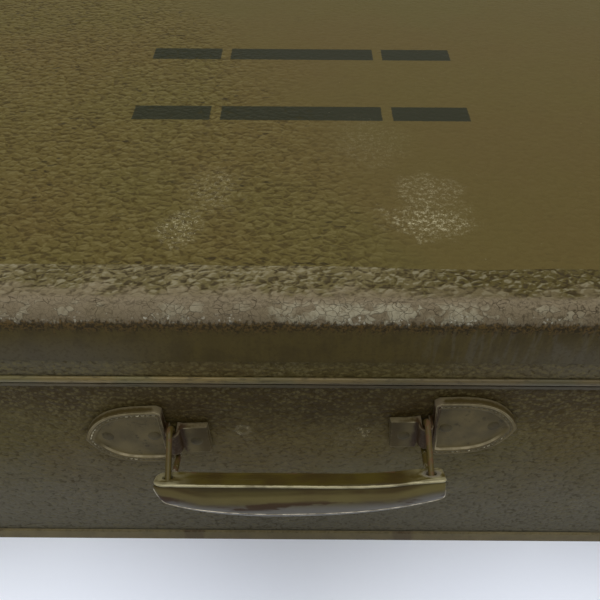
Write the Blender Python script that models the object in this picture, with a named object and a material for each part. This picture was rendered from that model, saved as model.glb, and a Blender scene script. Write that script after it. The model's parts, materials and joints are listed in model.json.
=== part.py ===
"""Suitcase of about 1940: a cloth-covered box with a hinged lid, two latches and a handle on wire rings.

The case lies flat on its base. X is its width, the handle is on the front wall at -Y, the hinges are on the
rear wall at +Y, and Z is up. The origin is the middle of the underside. Lengths are in metres.
"""

import math

import bmesh
import bpy
from mathutils import Vector

# Case
CASE_WIDTH = 0.610
CASE_DEPTH = 0.400
CASE_HEIGHT = 0.180
SEAM_HEIGHT = 0.1362
CORNER_RADIUS = 0.016
LEAST_CORNER_RADIUS = 0.002
WALL_THICKNESS = 0.005
PANEL_THICKNESS = 0.005
TOP_EDGE_RADIUS = 0.0085
FLOOR_EDGE_RADIUS = 0.0025
CLEARANCE = 0.0003

# Lid binding, floor binding and corner caps
BINDING_THICKNESS = 0.0009
BINDING_TOP_WIDTH = 0.029
BINDING_SIDE_SHARE = 0.669
FLOOR_BINDING_THICKNESS = 0.0012
FLOOR_BINDING_HEIGHT = 0.008
FLOOR_BINDING_ROUND = 0.0005
CAP_THICKNESS = 0.0010
CAP_REACH = 0.040
CAP_INSET = 0.0027
CAP_TURN = math.radians(5)
CAP_SIDE_SHARE = 0.651

# Rails at the seam
RAIL_METAL = 0.0010
LID_RAIL_HEIGHT = 0.0038
LID_RAIL_PROUD = 0.0019
BASE_RAIL_HEIGHT = 0.0022
BASE_RAIL_PROUD = 0.0013
RAIL_INNER_HEIGHT = 0.008
TONGUE_RISE = 0.005

# Linings
BACKING_THICKNESS = 0.0012
LINING_THICKNESS = 0.0010

# Handle leathers
HANDLE_DROP = 0.0326
HANDLE_TILT = math.radians(3.2)
RING_SPACING = 0.1186
SHIELD_LENGTH = 0.0395
SHIELD_HEIGHT = 0.0395
SHIELD_THICKNESS = 0.0043
SHIELD_ROUND = 0.0009
SHIELD_RIM_WIDTH = 0.0048
SHIELD_END_RIM = 0.0024
SHIELD_DISH_DEPTH = 0.0007
SHIELD_CURVE_POWER = 4.0
SHIELD_POINT_POWER = 0.8
STRAP_THICKNESS = 0.0018
STRAP_HEIGHT = 0.0200
BRIDGE_LEATHER = 0.0016
BRIDGE_HEIGHT = 0.0140
TAB_LENGTH = 0.0170
TAB_THICKNESS = 0.0034
STRAP_TUCK = 0.0345
TAB_RIVET_PLACE = 0.0094
INNER_RIVET_PLACE = 0.0102
OUTER_RIVET_PLACE = 0.0320

# Handle rings
WIRE_RADIUS = 0.0014
RING_BAR_LENGTH = 0.0260
RING_REACH = 0.0268
RING_TAPER = math.radians(20)
RING_BEND_RADIUS = 0.0032
RING_OUTER_BEND_RADIUS = 0.0024
RING_DROOP = math.radians(10)
RING_RISE = math.radians(12)
RING_SIDE_CLEARANCE = 0.0004
RING_BACK_CLEARANCE = 0.0008

# Grip
GRIP_LENGTH = 0.1300
GRIP_WIDTH = 0.0145
GRIP_PLATE_THICKNESS = 0.0012
GRIP_PLATE_CORNER = 0.0035
GRIP_PLATE_LEAN = math.radians(33)
GRIP_HOLE_DISTANCE = 0.0246
GRIP_HOLE_SETBACK = 0.00125
GRIP_HOLE_RADIUS = 0.0026
GRIP_MIDDLE_DEPTH = 0.0174
GRIP_END_DEPTH = 0.0106
GRIP_EDGE_INSET = 0.0004
GRIP_WALL = 0.0010
GRIP_END_ROUND = 0.0040
GRIP_END_SHARE = 0.55
GRIP_SAG_POWER = 3.0
GRIP_SAG_END_POWER = 0.8
GRIP_BELLY_POWER = 0.7

# Rivets
RIVET_HEAD_RADIUS = 0.0034
RIVET_HEAD_HEIGHT = 0.0008
RIVET_SHANK_RADIUS = 0.0014
SMALL_HEAD_RADIUS = 0.0022
SMALL_HEAD_HEIGHT = 0.0009
SMALL_SHANK_RADIUS = 0.0011
RIVET_HOLE_CLEARANCE = 0.0004
BACKING_MARGIN = 0.0050

# Latches
LATCH_SPACING = 0.390
LATCH_CASE_WIDTH = 0.054
LATCH_CASE_TOP_GAP = 0.0022
LATCH_CASE_HEIGHT = 0.0290
LATCH_CASE_DEPTH = 0.0045
LATCH_METAL = 0.0010
LATCH_FLANGE_WIDTH = 0.0070
TONGUE_SLOT_WIDTH = 0.0052
TONGUE_SLOT_HEIGHT = 0.0160
TONGUE_WIDTH = 0.0032
TONGUE_HEIGHT = 0.0050
TONGUE_LENGTH = 0.0036
TONGUE_RISE_IN_SLOT = 0.0012
BOLT_LENGTH = 0.0130
BOLT_HEIGHT = 0.0040
BOLT_THICKNESS = 0.0022
BOLT_TRAVEL = 0.0050
BOLT_DROP = 0.0145
SPRING_RADIUS = 0.0010
SPRING_WIRE_RADIUS = 0.00022
SPRING_LENGTH = 0.0052
SPRING_TURNS = 5
BUTTON_PLACE = 0.0130
BUTTON_STEM_RADIUS = 0.0013
BUTTON_WIDTH = 0.0066
BUTTON_HEIGHT = 0.0110
BUTTON_THICKNESS = 0.0024
BUTTON_ROUND = 0.0008

# Hasps
HASP_WIDTH = 0.018
HASP_METAL = 0.0014
HASP_LENGTH = 0.0330
HASP_LIP = 0.0030
HASP_AXIS_RISE = 0.0058
HASP_KNUCKLE_RADIUS = 0.0023
HASP_PIN_RADIUS = 0.0010
HASP_KNUCKLE_WIDTH = 0.0110
BRACKET_WIDTH = 0.0260
BRACKET_KNUCKLE_WIDTH = 0.0050
BRACKET_HEIGHT = 0.0230
BRACKET_METAL = 0.0012
BRACKET_RIVET_SPACING = 0.0160
BRACKET_RIVET_INSET = 0.0055

# Hinges
HINGE_SPACING = 0.360
HINGE_WIDTH = 0.056
HINGE_METAL = 0.0012
HINGE_KNUCKLE_RADIUS = 0.0025
HINGE_PIN_RADIUS = 0.0012
HINGE_MIDDLE_WIDTH = 0.0200
HINGE_BASE_LEAF = 0.0240
HINGE_LID_LEAF = 0.0135
HINGE_JOGGLE_START = 0.0048
HINGE_JOGGLE_RUN = 0.0017
HINGE_RIVET_SPACING = 0.0400
HINGE_BASE_RIVET_DROP = 0.0150
HINGE_LID_RIVET_RISE = 0.0098
BORE_CLEARANCE = 0.0001
NECK_SHARE = 0.8
PIN_HEAD_SHARE = 0.8
NECK_INSET = 0.0003

# Fineness of round shapes
CORNER_STEPS = 4
EDGE_STEPS = 4
ARC_STEPS = 5
RIVET_SIDES = 10
KNUCKLE_SIDES = 16
WIRE_SIDES_LEVEL = 1
SPRING_STEPS_PER_TURN = 8
GRIP_SECTIONS = 18
GRIP_SECTION_POINTS = 10
SHIELD_POINTS = 12
SMALL_CORNER_STEPS = 2
CAP_BALL_SEGMENTS = 24
CAP_BALL_RINGS = 14
LEAST_MITRE_SHARE = 0.5
SMOOTH_ANGLE = math.radians(35)
OVERRUN = 0.002

# Places worked out from the sizes above
HALF_WIDTH = CASE_WIDTH / 2
HALF_DEPTH = CASE_DEPTH / 2
LID_HEIGHT = CASE_HEIGHT - SEAM_HEIGHT
HANDLE_HEIGHT = SEAM_HEIGHT - HANDLE_DROP
HASP_AXIS_HEIGHT = SEAM_HEIGHT + HASP_AXIS_RISE
BINDING_SIDE_WIDTH = LID_HEIGHT * BINDING_SIDE_SHARE
CAP_SIDE_WIDTH = LID_HEIGHT * CAP_SIDE_SHARE
BINDING_OUT = CLEARANCE + BINDING_THICKNESS
FLOOR_BINDING_OUT = CLEARANCE + FLOOR_BINDING_THICKNESS
LINING_OUT = WALL_THICKNESS + BACKING_THICKNESS + 2 * CLEARANCE
RAIL_INNER_OUT = WALL_THICKNESS + CLEARANCE + RAIL_METAL
TONGUE_INNER = RAIL_INNER_OUT + CLEARANCE + RAIL_METAL
LID_EDGE = SEAM_HEIGHT + CLEARANCE / 2 + RAIL_METAL + CLEARANCE
BASE_EDGE = SEAM_HEIGHT - CLEARANCE / 2 - RAIL_METAL - CLEARANCE
HINGE_AXIS_OUT = max(LID_RAIL_PROUD, BASE_RAIL_PROUD) + CLEARANCE + HINGE_KNUCKLE_RADIUS
BAR_HALF_STRAIGHT = RING_BAR_LENGTH / 2 - RING_BEND_RADIUS / math.tan((math.pi / 2 - RING_TAPER) / 2)
BAR_SWAY = BAR_HALF_STRAIGHT * math.sin(RING_RISE) + RING_BEND_RADIUS * (1 - math.cos(RING_RISE))
BAR_FROM_WALL = WIRE_RADIUS + BAR_SWAY + RING_BACK_CLEARANCE
BRIDGE_UNDERSIDE = (
    BAR_FROM_WALL + WIRE_RADIUS / math.cos(RING_RISE)
    + BRIDGE_HEIGHT / 2 * math.tan(RING_RISE) + RING_BACK_CLEARANCE
)
BRIDGE_HALF_GAP = WIRE_RADIUS + RING_SIDE_CLEARANCE


def clear_scene():
    for old in list(bpy.data.objects):
        bpy.data.objects.remove(old, do_unlink=True)


def finish(name, colour, roughness, metallic):
    material = bpy.data.materials.new(name)
    material.use_nodes = True
    shader = material.node_tree.nodes["Principled BSDF"]
    shader.inputs["Base Color"].default_value = (*colour, 1.0)
    shader.inputs["Roughness"].default_value = roughness
    shader.inputs["Metallic"].default_value = metallic
    material.diffuse_color = (*colour, 1.0)
    return material


def pebbled_cloth():
    return finish("olive_pebbled_cloth", (0.105, 0.088, 0.028), 0.55, 0.0)


def worn_binding():
    return finish("worn_binding", (0.14, 0.12, 0.078), 0.65, 0.0)


def rail_metal():
    return finish("olive_brass_rail", (0.17, 0.12, 0.045), 0.4, 0.7)


def painted_steel():
    return finish("olive_painted_steel", (0.13, 0.115, 0.028), 0.4, 0.3)


def latch_steel():
    return finish("dull_brassed_steel", (0.24, 0.19, 0.09), 0.38, 0.9)


def bright_steel():
    return finish("bare_steel", (0.42, 0.41, 0.40), 0.35, 1.0)


def strap_leather():
    return finish("dark_olive_leather", (0.075, 0.072, 0.042), 0.5, 0.0)


def lining_cloth():
    return finish("tan_lining_cloth", (0.42, 0.33, 0.19), 0.9, 0.0)


# Meshes from rows of points
def mesh_from_loops(name, loops, cyclic=False):
    """Bridges equal loops of points in order. The first and last are capped, or joined when cyclic."""
    work = bmesh.new()
    rows = [[work.verts.new(point) for point in loop] for loop in loops]
    count = len(rows[0])
    pairs = list(zip(rows, rows[1:]))
    if cyclic:
        pairs.append((rows[-1], rows[0]))
    else:
        work.faces.new(rows[0])
        work.faces.new(rows[-1])
    for near, far in pairs:
        for i in range(count):
            j = (i + 1) % count
            work.faces.new((near[i], near[j], far[j], far[i]))
    bmesh.ops.recalc_face_normals(work, faces=work.faces)
    mesh = bpy.data.meshes.new(name)
    work.to_mesh(mesh)
    work.free()
    mesh.shade_smooth()
    mesh.set_sharp_from_angle(angle=SMOOTH_ANGLE)
    return mesh


def place(name, data, parent, material=None):
    made = bpy.data.objects.new(name, data)
    bpy.context.scene.collection.objects.link(made)
    made.parent = parent
    if material:
        data.materials.append(material)
    return made


def piece(name, loops, material, parent=None, cyclic=False):
    return place(name, mesh_from_loops(name, loops, cyclic), parent, material)


def cutter(name, loops, parent=None):
    """A hidden shape that a Boolean reads."""
    made = place(name, mesh_from_loops(name, loops), parent)
    made.hide_render = True
    made.display_type = "WIRE"
    return made


def combine(target, other, operation):
    step = target.modifiers.new(other.name, "BOOLEAN")
    step.operation = operation
    step.object = other
    step.solver = "EXACT"


def cut(target, *others):
    for other in others:
        combine(target, other, "DIFFERENCE")


def add(target, *others):
    for other in others:
        combine(target, other, "UNION")


def frame_at(name, location, turn=(0.0, 0.0, 0.0), parent=None):
    """An empty that carries pieces."""
    made = bpy.data.objects.new(name, None)
    bpy.context.scene.collection.objects.link(made)
    made.parent = parent
    made.location = location
    made.rotation_euler = turn
    return made


# Outlines
def case_outline(inset, height):
    """The case's plan shape, moved in by an inset, at one height."""
    radius = max(CORNER_RADIUS - inset, LEAST_CORNER_RADIUS)
    x, y = HALF_WIDTH - inset - radius, HALF_DEPTH - inset - radius
    points = []
    for corner, (sx, sy) in enumerate(((1, 1), (-1, 1), (-1, -1), (1, -1))):
        for step in range(CORNER_STEPS + 1):
            angle = (corner + step / CORNER_STEPS) * math.pi / 2
            points.append(Vector((
                sx * x + radius * math.cos(angle), sy * y + radius * math.sin(angle), height
            )))
    return points


def around_case(profile):
    return [case_outline(inset, height) for inset, height in profile]


def arc(centre, radius, start, end, steps=ARC_STEPS):
    """Points (a, b) on a circle from one angle to another."""
    return [
        (centre[0] + radius * math.cos(start + (end - start) * i / steps),
         centre[1] + radius * math.sin(start + (end - start) * i / steps))
        for i in range(steps + 1)
    ]


def extruded_along_x(outline, start, end):
    return [[Vector((x, y, z)) for y, z in outline] for x in (start, end)]


def extruded_along_z(outline, start, end):
    return [[Vector((x, y, z)) for x, y in outline] for z in (start, end)]


def box(x_span, y_span, z_span):
    (x0, x1), (y0, y1), (z0, z1) = x_span, y_span, z_span
    return extruded_along_z([(x0, y0), (x1, y0), (x1, y1), (x0, y1)], z0, z1)


def bar_along_x(start, end, centre, radius, sides=KNUCKLE_SIDES):
    outline = arc(centre, radius, 0.0, 2 * math.pi, sides)[:-1]
    return extruded_along_x(outline, start, end)


def turned(profile, centre, sides=RIVET_SIDES):
    """A round shape along local Z from rows of (radius, height)."""
    return [
        [Vector((x, y, height)) for x, y in arc(centre, radius, 0.0, 2 * math.pi, sides)[:-1]]
        for radius, height in profile
    ]


def rounded_box_outline(x_span, y_span, radius, steps=SMALL_CORNER_STEPS):
    (x0, x1), (y0, y1) = x_span, y_span
    points = []
    corners = ((x1, y1), (x0, y1), (x0, y0), (x1, y0))
    for corner, (x, y) in enumerate(corners):
        cx = x - radius if x == x1 else x + radius
        cy = y - radius if y == y1 else y + radius
        points += arc((cx, cy), radius, corner * math.pi / 2, (corner + 1) * math.pi / 2, steps)
    return points


def moved_in(outline, distance):
    """A closed outline, run anticlockwise, moved towards its inside."""
    moved = []
    count = len(outline)
    for i in range(count):
        before, here, after = (Vector(outline[(i + k) % count]) for k in (-1, 0, 1))
        first, second = (here - before).normalized(), (after - here).normalized()
        left_first, left_second = Vector((-first.y, first.x)), Vector((-second.y, second.x))
        middle = (left_first + left_second).normalized()
        reach = distance / max(middle.dot(left_first), LEAST_MITRE_SHARE)
        moved.append(tuple(here + middle * reach))
    return moved


# Frames on the walls: local X runs along the wall, local Y up it and local Z out of it
def front_frame(name, along=0.0, height=0.0, tilt=0.0):
    return frame_at(name, (along, -HALF_DEPTH, height), (math.pi / 2, -tilt, 0.0))


def rear_frame(name, along, height):
    return frame_at(name, (along, HALF_DEPTH, height), (math.pi / 2, 0.0, math.pi))


# Box and lid
def tray_profile(inner_inset, inner_height, edge_height, outer_height, edge_radius):
    """From the middle of the inside to the middle of the outside, over the open edge."""
    side = 1 if outer_height > edge_height else -1
    centre = outer_height - side * edge_radius
    turn = [
        (edge_radius - edge_radius * math.cos(step / EDGE_STEPS * math.pi / 2),
         centre + side * edge_radius * math.sin(step / EDGE_STEPS * math.pi / 2))
        for step in range(EDGE_STEPS + 1)
    ]
    return [(inner_inset, inner_height), (inner_inset, edge_height), (0.0, edge_height)] + turn


def base_shell(material):
    profile = tray_profile(WALL_THICKNESS, PANEL_THICKNESS, BASE_EDGE, 0.0, FLOOR_EDGE_RADIUS)
    return piece("base_shell", around_case(profile), material)


def lid_shell(material):
    profile = tray_profile(
        WALL_THICKNESS, CASE_HEIGHT - PANEL_THICKNESS, LID_EDGE, CASE_HEIGHT, TOP_EDGE_RADIUS
    )
    return piece("lid_shell", around_case(profile), material)


def lining_tray(name, floor, edge, material):
    inner = LINING_OUT + LINING_THICKNESS
    side = 1 if floor > edge else -1
    profile = [
        (inner, floor - side * LINING_THICKNESS), (inner, edge), (LINING_OUT, edge), (LINING_OUT, floor)
    ]
    return piece(name, around_case(profile), material)


def base_lining(material):
    floor = PANEL_THICKNESS + CLEARANCE
    return lining_tray("base_lining", floor, BASE_EDGE - CLEARANCE, material)


def lid_lining(material):
    ceiling = CASE_HEIGHT - PANEL_THICKNESS - CLEARANCE
    return lining_tray("lid_lining", ceiling, SEAM_HEIGHT + TONGUE_RISE + 2 * CLEARANCE, material)


def folded_band(out, thickness, top_width, side_width):
    """A band over the lid's rounded edge, as a closed profile of (inset, height)."""
    def layer(offset):
        radius = TOP_EDGE_RADIUS + offset
        turn = [
            (TOP_EDGE_RADIUS - radius * math.sin(step / EDGE_STEPS * math.pi / 2),
             CASE_HEIGHT - TOP_EDGE_RADIUS + radius * math.cos(step / EDGE_STEPS * math.pi / 2))
            for step in range(EDGE_STEPS + 1)
        ]
        return [(top_width, CASE_HEIGHT + offset)] + turn + [(-offset, CASE_HEIGHT - side_width)]
    return layer(out) + layer(out + thickness)[::-1]


def lid_edge_binding(material):
    profile = folded_band(CLEARANCE, BINDING_THICKNESS, BINDING_TOP_WIDTH, BINDING_SIDE_WIDTH)
    return piece("lid_edge_binding", around_case(profile), material, cyclic=True)


def base_floor_binding(material):
    top = FLOOR_BINDING_HEIGHT
    profile = [
        (-CLEARANCE, 0.0), (-FLOOR_BINDING_OUT, 0.0), (-FLOOR_BINDING_OUT, top - FLOOR_BINDING_ROUND),
        (-FLOOR_BINDING_OUT + FLOOR_BINDING_ROUND, top), (-CLEARANCE, top),
    ]
    return piece("base_floor_binding", around_case(profile), material, cyclic=True)


def lid_rail(material):
    bottom = SEAM_HEIGHT + CLEARANCE / 2
    top = bottom + LID_RAIL_HEIGHT
    middle = (top + bottom) / 2
    bead = [
        (-CLEARANCE - (LID_RAIL_PROUD - CLEARANCE) * math.sin(step / ARC_STEPS * math.pi),
         middle + (LID_RAIL_HEIGHT / 2) * math.cos(step / ARC_STEPS * math.pi))
        for step in range(ARC_STEPS + 1)
    ]
    inner_top = bottom + RAIL_INNER_HEIGHT
    profile = bead + [
        (RAIL_INNER_OUT, bottom), (RAIL_INNER_OUT, inner_top), (RAIL_INNER_OUT - RAIL_METAL, inner_top),
        (RAIL_INNER_OUT - RAIL_METAL, bottom + RAIL_METAL), (-CLEARANCE, bottom + RAIL_METAL),
    ]
    return piece("lid_rail", around_case(profile), material, cyclic=True)


def base_rail(material):
    top = SEAM_HEIGHT - CLEARANCE / 2
    bottom = top - BASE_RAIL_HEIGHT
    tongue_top = SEAM_HEIGHT + TONGUE_RISE
    inner_bottom = top - RAIL_INNER_HEIGHT
    web = top - RAIL_METAL
    profile = [
        (-CLEARANCE, bottom), (-BASE_RAIL_PROUD, bottom + RAIL_METAL / 2), (-BASE_RAIL_PROUD, top),
        (TONGUE_INNER - RAIL_METAL, top), (TONGUE_INNER - RAIL_METAL, tongue_top),
        (TONGUE_INNER, tongue_top), (TONGUE_INNER, web), (RAIL_INNER_OUT, web),
        (RAIL_INNER_OUT, inner_bottom), (RAIL_INNER_OUT - RAIL_METAL, inner_bottom),
        (RAIL_INNER_OUT - RAIL_METAL, web), (-CLEARANCE, web),
    ]
    return piece("base_rail", around_case(profile), material, cyclic=True)


def corner_ball(name, side_x, side_y, height, parent=None):
    """A ball at a corner of the case, to cut a corner cap out of a band."""
    work = bmesh.new()
    bmesh.ops.create_uvsphere(work, u_segments=CAP_BALL_SEGMENTS, v_segments=CAP_BALL_RINGS, radius=CAP_REACH)
    mesh = bpy.data.meshes.new(name)
    work.to_mesh(mesh)
    work.free()
    made = place(name, mesh, parent)
    inward = -1 if height > SEAM_HEIGHT else 1
    made.location = (
        side_x * (HALF_WIDTH - CAP_INSET), side_y * (HALF_DEPTH - CAP_INSET), height + inward * CAP_INSET
    )
    made.rotation_euler = (0.0, 0.0, CAP_TURN)
    made.hide_render = True
    made.display_type = "WIRE"
    return made


def corner_caps(which, profile, height, material):
    """One cap for each corner of the lid or of the base."""
    for end, side_y in (("front", -1), ("rear", 1)):
        for side, side_x in (("left", -1), ("right", 1)):
            name = f"{which}_cap_{end}_{side}"
            cap = piece(name, around_case(profile), material, cyclic=True)
            combine(cap, corner_ball(name + "_outline", side_x, side_y, height), "INTERSECT")


def lid_corner_caps(material):
    profile = folded_band(BINDING_OUT + CLEARANCE, CAP_THICKNESS, CAP_REACH, CAP_SIDE_WIDTH)
    corner_caps("lid", profile, CASE_HEIGHT, material)


def base_corner_caps(material):
    near = FLOOR_BINDING_OUT + CLEARANCE
    profile = [
        (-near, 0.0), (-near - CAP_THICKNESS, 0.0), (-near - CAP_THICKNESS, CAP_REACH), (-near, CAP_REACH)
    ]
    corner_caps("base", profile, 0.0, material)


# Rivets
def rivet_loops(x, y, seat, head_radius, head_height, shank_radius, depth):
    """A domed head on a seat, and a shank that goes down to a depth."""
    crown_shares = ((1.0, 0.0), (0.9, 0.5), (0.5, 1.0))
    rows = [(shank_radius, -depth), (shank_radius, seat)]
    rows += [(head_radius * across, seat + head_height * up) for across, up in crown_shares]
    return turned(rows, (x, y))


def rivet_set(name, places, head, backing, material, parent):
    """Rivets that share a backing plate on the inside of the wall.

    places holds (x, y, seat); head holds (radius, height, shank radius); backing holds (x span, y span).
    """
    inner = -WALL_THICKNESS - CLEARANCE
    outer = inner - BACKING_THICKNESS
    made = piece(name, box(*backing, (outer, inner)), material, parent)
    for number, (x, y, seat) in enumerate(places):
        loops = rivet_loops(x, y, seat + CLEARANCE, *head, -(inner + outer) / 2)
        add(made, cutter(f"{name}_{number}", loops, parent))
    return made


def hole(name, x, y, shank_radius, z_span, parent):
    radius = shank_radius + RIVET_HOLE_CLEARANCE
    start, end = z_span
    return cutter(name, turned([(radius, start), (radius, end)], (x, y)), parent)


def through_wall():
    return (-WALL_THICKNESS - OVERRUN, OVERRUN)


# Handle
def shield_outline(direction):
    """From the inner end to the pointed tip and back, run anticlockwise in local X and Y."""
    inner = BRIDGE_HALF_GAP + BRIDGE_LEATHER + CLEARANCE
    rows = []
    for step in range(SHIELD_POINTS + 1):
        share = 1 - (1 - step / SHIELD_POINTS) ** 2
        half = SHIELD_HEIGHT / 2 * max(1 - share ** SHIELD_CURVE_POWER, 0.0) ** SHIELD_POINT_POWER
        rows.append((inner + share * SHIELD_LENGTH, half))
    upper = [(x, y) for x, y in rows]
    lower = [(x, -y) for x, y in rows[:-1]]
    outline = lower + upper[::-1]
    if direction < 0:
        outline = [(-x, y) for x, y in outline][::-1]
    return outline


def handle_shield(side, direction, ring_x, material, leather_frame):
    outline = shield_outline(direction)
    face = SHIELD_THICKNESS
    dish, rim, end_rim = SHIELD_DISH_DEPTH, SHIELD_RIM_WIDTH, SHIELD_END_RIM
    steps = (
        (0.0, 0.0, CLEARANCE), (0.0, 0.0, face - SHIELD_ROUND),
        (SHIELD_ROUND / 3, SHIELD_ROUND / 3, face - SHIELD_ROUND / 3), (SHIELD_ROUND, SHIELD_ROUND, face),
        (rim, end_rim, face), (rim + dish, end_rim + dish, face - dish),
    )
    inner_end = min(abs(x) for x, _ in outline)
    loops = []
    for inset, end_inset, height in steps:
        row = []
        for (x, y), (old_x, _) in zip(moved_in(outline, inset), outline):
            if abs(old_x) == inner_end:
                x = direction * (inner_end + end_inset)
            row.append(Vector((ring_x + x, y, height)))
        loops.append(row)
    made = piece(f"handle_shield_{side}", loops, material, leather_frame)
    inner = BRIDGE_HALF_GAP
    pocket = box(
        sorted((ring_x + direction * inner, ring_x + direction * (STRAP_TUCK + CLEARANCE))),
        (-STRAP_HEIGHT / 2 - CLEARANCE, STRAP_HEIGHT / 2 + CLEARANCE),
        (-OVERRUN, CLEARANCE + STRAP_THICKNESS + CLEARANCE),
    )
    cut(made, cutter(f"handle_shield_{side}_pocket", pocket, leather_frame))
    for number, place_along in enumerate((INNER_RIVET_PLACE, OUTER_RIVET_PLACE)):
        x = ring_x + direction * place_along
        name = f"handle_shield_{side}_hole_{number}"
        cut(made, hole(name, x, 0.0, RIVET_SHANK_RADIUS, (0.0, face + OVERRUN), leather_frame))
    return made


def strap_outline(direction):
    """The strap's edge-on shape as (x, z): tuck, bridge over the ring's bar, tab."""
    inner_z, bridge_top = BRIDGE_UNDERSIDE, BRIDGE_UNDERSIDE + BRIDGE_LEATHER
    half, outer_half = BRIDGE_HALF_GAP, BRIDGE_HALF_GAP + BRIDGE_LEATHER
    tuck_top = CLEARANCE + STRAP_THICKNESS
    tab_end = outer_half + TAB_LENGTH
    under = [(half * math.cos(a), inner_z - half + half * math.sin(a))
             for a in (math.pi * step / ARC_STEPS for step in range(ARC_STEPS + 1))]
    over = [(outer_half * math.cos(a), bridge_top - outer_half + outer_half * math.sin(a))
            for a in (math.pi * step / ARC_STEPS for step in range(ARC_STEPS + 1))]
    outline = [(STRAP_TUCK, tuck_top), (STRAP_TUCK, CLEARANCE), (half, CLEARANCE)]
    outline += under
    outline += [(-half, CLEARANCE), (-tab_end, CLEARANCE), (-tab_end, TAB_THICKNESS - SHIELD_ROUND)]
    outline += [(-tab_end + SHIELD_ROUND, TAB_THICKNESS), (-outer_half, TAB_THICKNESS)]
    outline += over[::-1]
    outline += [(outer_half, tuck_top)]
    return [(direction * x, z) for x, z in outline]


def handle_strap(side, direction, ring_x, material, leather_frame):
    half = STRAP_HEIGHT / 2
    loops = [
        [Vector((ring_x + x, y, z)) for x, z in strap_outline(direction)] for y in (-half, half)
    ]
    made = piece(f"handle_strap_{side}", loops, material, leather_frame)
    reach = BRIDGE_HALF_GAP + BRIDGE_LEATHER + CLEARANCE
    for end, sign in (("top", 1), ("bottom", -1)):
        span = sorted((sign * BRIDGE_HEIGHT / 2, sign * (half + OVERRUN)))
        top = BRIDGE_UNDERSIDE + BRIDGE_LEATHER + OVERRUN
        notch = box((ring_x - reach, ring_x + reach), span, (-OVERRUN, top))
        cut(made, cutter(f"handle_strap_{side}_notch_{end}", notch, leather_frame))
    for number, along in enumerate((-TAB_RIVET_PLACE, INNER_RIVET_PLACE, OUTER_RIVET_PLACE)):
        name = f"handle_strap_{side}_hole_{number}"
        x = ring_x + direction * along
        span = (-OVERRUN, TAB_THICKNESS + OVERRUN)
        cut(made, hole(name, x, 0.0, RIVET_SHANK_RADIUS, span, leather_frame))
    return made


def handle_rivets(side, direction, ring_x, material, leather_frame):
    dish = SHIELD_THICKNESS - SHIELD_DISH_DEPTH
    seats = ((-TAB_RIVET_PLACE, TAB_THICKNESS), (INNER_RIVET_PLACE, dish), (OUTER_RIVET_PLACE, dish))
    places = [(ring_x + direction * along, 0.0, seat) for along, seat in seats]
    ends = sorted((places[0][0], places[-1][0]))
    span = (ends[0] - BACKING_MARGIN, ends[1] + BACKING_MARGIN)
    head = (RIVET_HEAD_RADIUS, RIVET_HEAD_HEIGHT, RIVET_SHANK_RADIUS)
    backing = (span, (-BACKING_MARGIN, BACKING_MARGIN))
    return rivet_set(f"handle_rivets_{side}", places, head, backing, material, leather_frame)


def rounded_path(corners, radii):
    """A closed path through corners (outward, up), each rounded to its own radius."""
    count = len(corners)
    path = []
    for i in range(count):
        here = Vector(corners[i])
        to_before = (Vector(corners[i - 1]) - here).normalized()
        to_after = (Vector(corners[(i + 1) % count]) - here).normalized()
        half_angle = to_before.angle(to_after) / 2
        run = radii[i] / math.tan(half_angle)
        centre = here + (to_before + to_after).normalized() * (radii[i] / math.sin(half_angle))
        start, end = here + to_before * run - centre, here + to_after * run - centre
        sweep = start.angle_signed(end)
        for step in range(ARC_STEPS + 1):
            turn = -sweep * step / ARC_STEPS
            path.append((
                centre.x + start.x * math.cos(turn) - start.y * math.sin(turn),
                centre.y + start.x * math.sin(turn) + start.y * math.cos(turn),
            ))
    return path


def ring_corners():
    """The trapezoid's corners as (outward, up) from the middle of the inner bar."""
    half = RING_BAR_LENGTH / 2
    outer_half = half - RING_REACH * math.tan(RING_TAPER)
    return [(0.0, -half), (RING_REACH, -outer_half), (RING_REACH, outer_half), (0.0, half)]


def handle_ring(side, ring_x, material, swing_frame):
    radii = (RING_BEND_RADIUS, RING_OUTER_BEND_RADIUS, RING_OUTER_BEND_RADIUS, RING_BEND_RADIUS)
    path = rounded_path(ring_corners(), radii)
    wire = bpy.data.curves.new(f"handle_ring_{side}", "CURVE")
    wire.dimensions = "3D"
    wire.bevel_depth = WIRE_RADIUS
    wire.bevel_resolution = WIRE_SIDES_LEVEL
    line = wire.splines.new("POLY")
    line.points.add(len(path) - 1)
    for point, (outward, up) in zip(line.points, path):
        point.co = (ring_x, up, outward, 1.0)
    line.use_cyclic_u = True
    return place(f"handle_ring_{side}", wire, swing_frame, material)


def grip_outline(inset=0.0, radius=GRIP_PLATE_CORNER):
    half_x, half_y = GRIP_LENGTH / 2 - inset, GRIP_WIDTH / 2 - inset
    return rounded_box_outline((-half_x, half_x), (-half_y, half_y), radius, ARC_STEPS)


def grip_hole(name, x, leg_turn, place_at, parent):
    """A round cutter along a ring's leg, in the grip's frame."""
    radius, reach = GRIP_HOLE_RADIUS, GRIP_WIDTH / 4
    made = cutter(name, turned([(radius, -reach), (radius, reach)], (0.0, 0.0)), parent)
    made.location = (x, *place_at)
    made.rotation_euler = (leg_turn, 0.0, 0.0)
    return made


def grip_plate(material, grip_frame):
    thick = GRIP_PLATE_THICKNESS
    edge = thick / 4
    rows = ((edge, 0.0), (0.0, edge), (0.0, thick - edge), (edge, thick))
    loops = [[Vector((x, y, z)) for x, y in grip_outline(inset)] for inset, z in rows]
    made = piece("grip_plate", loops, material, grip_frame)
    for side, sign in (("left", -1), ("right", 1)):
        x = sign * RING_SPACING / 2
        cut(made, grip_hole(f"grip_plate_hole_{side}", x, 0.0, (GRIP_HOLE_SETBACK, thick / 2), grip_frame))
    return made


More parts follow.
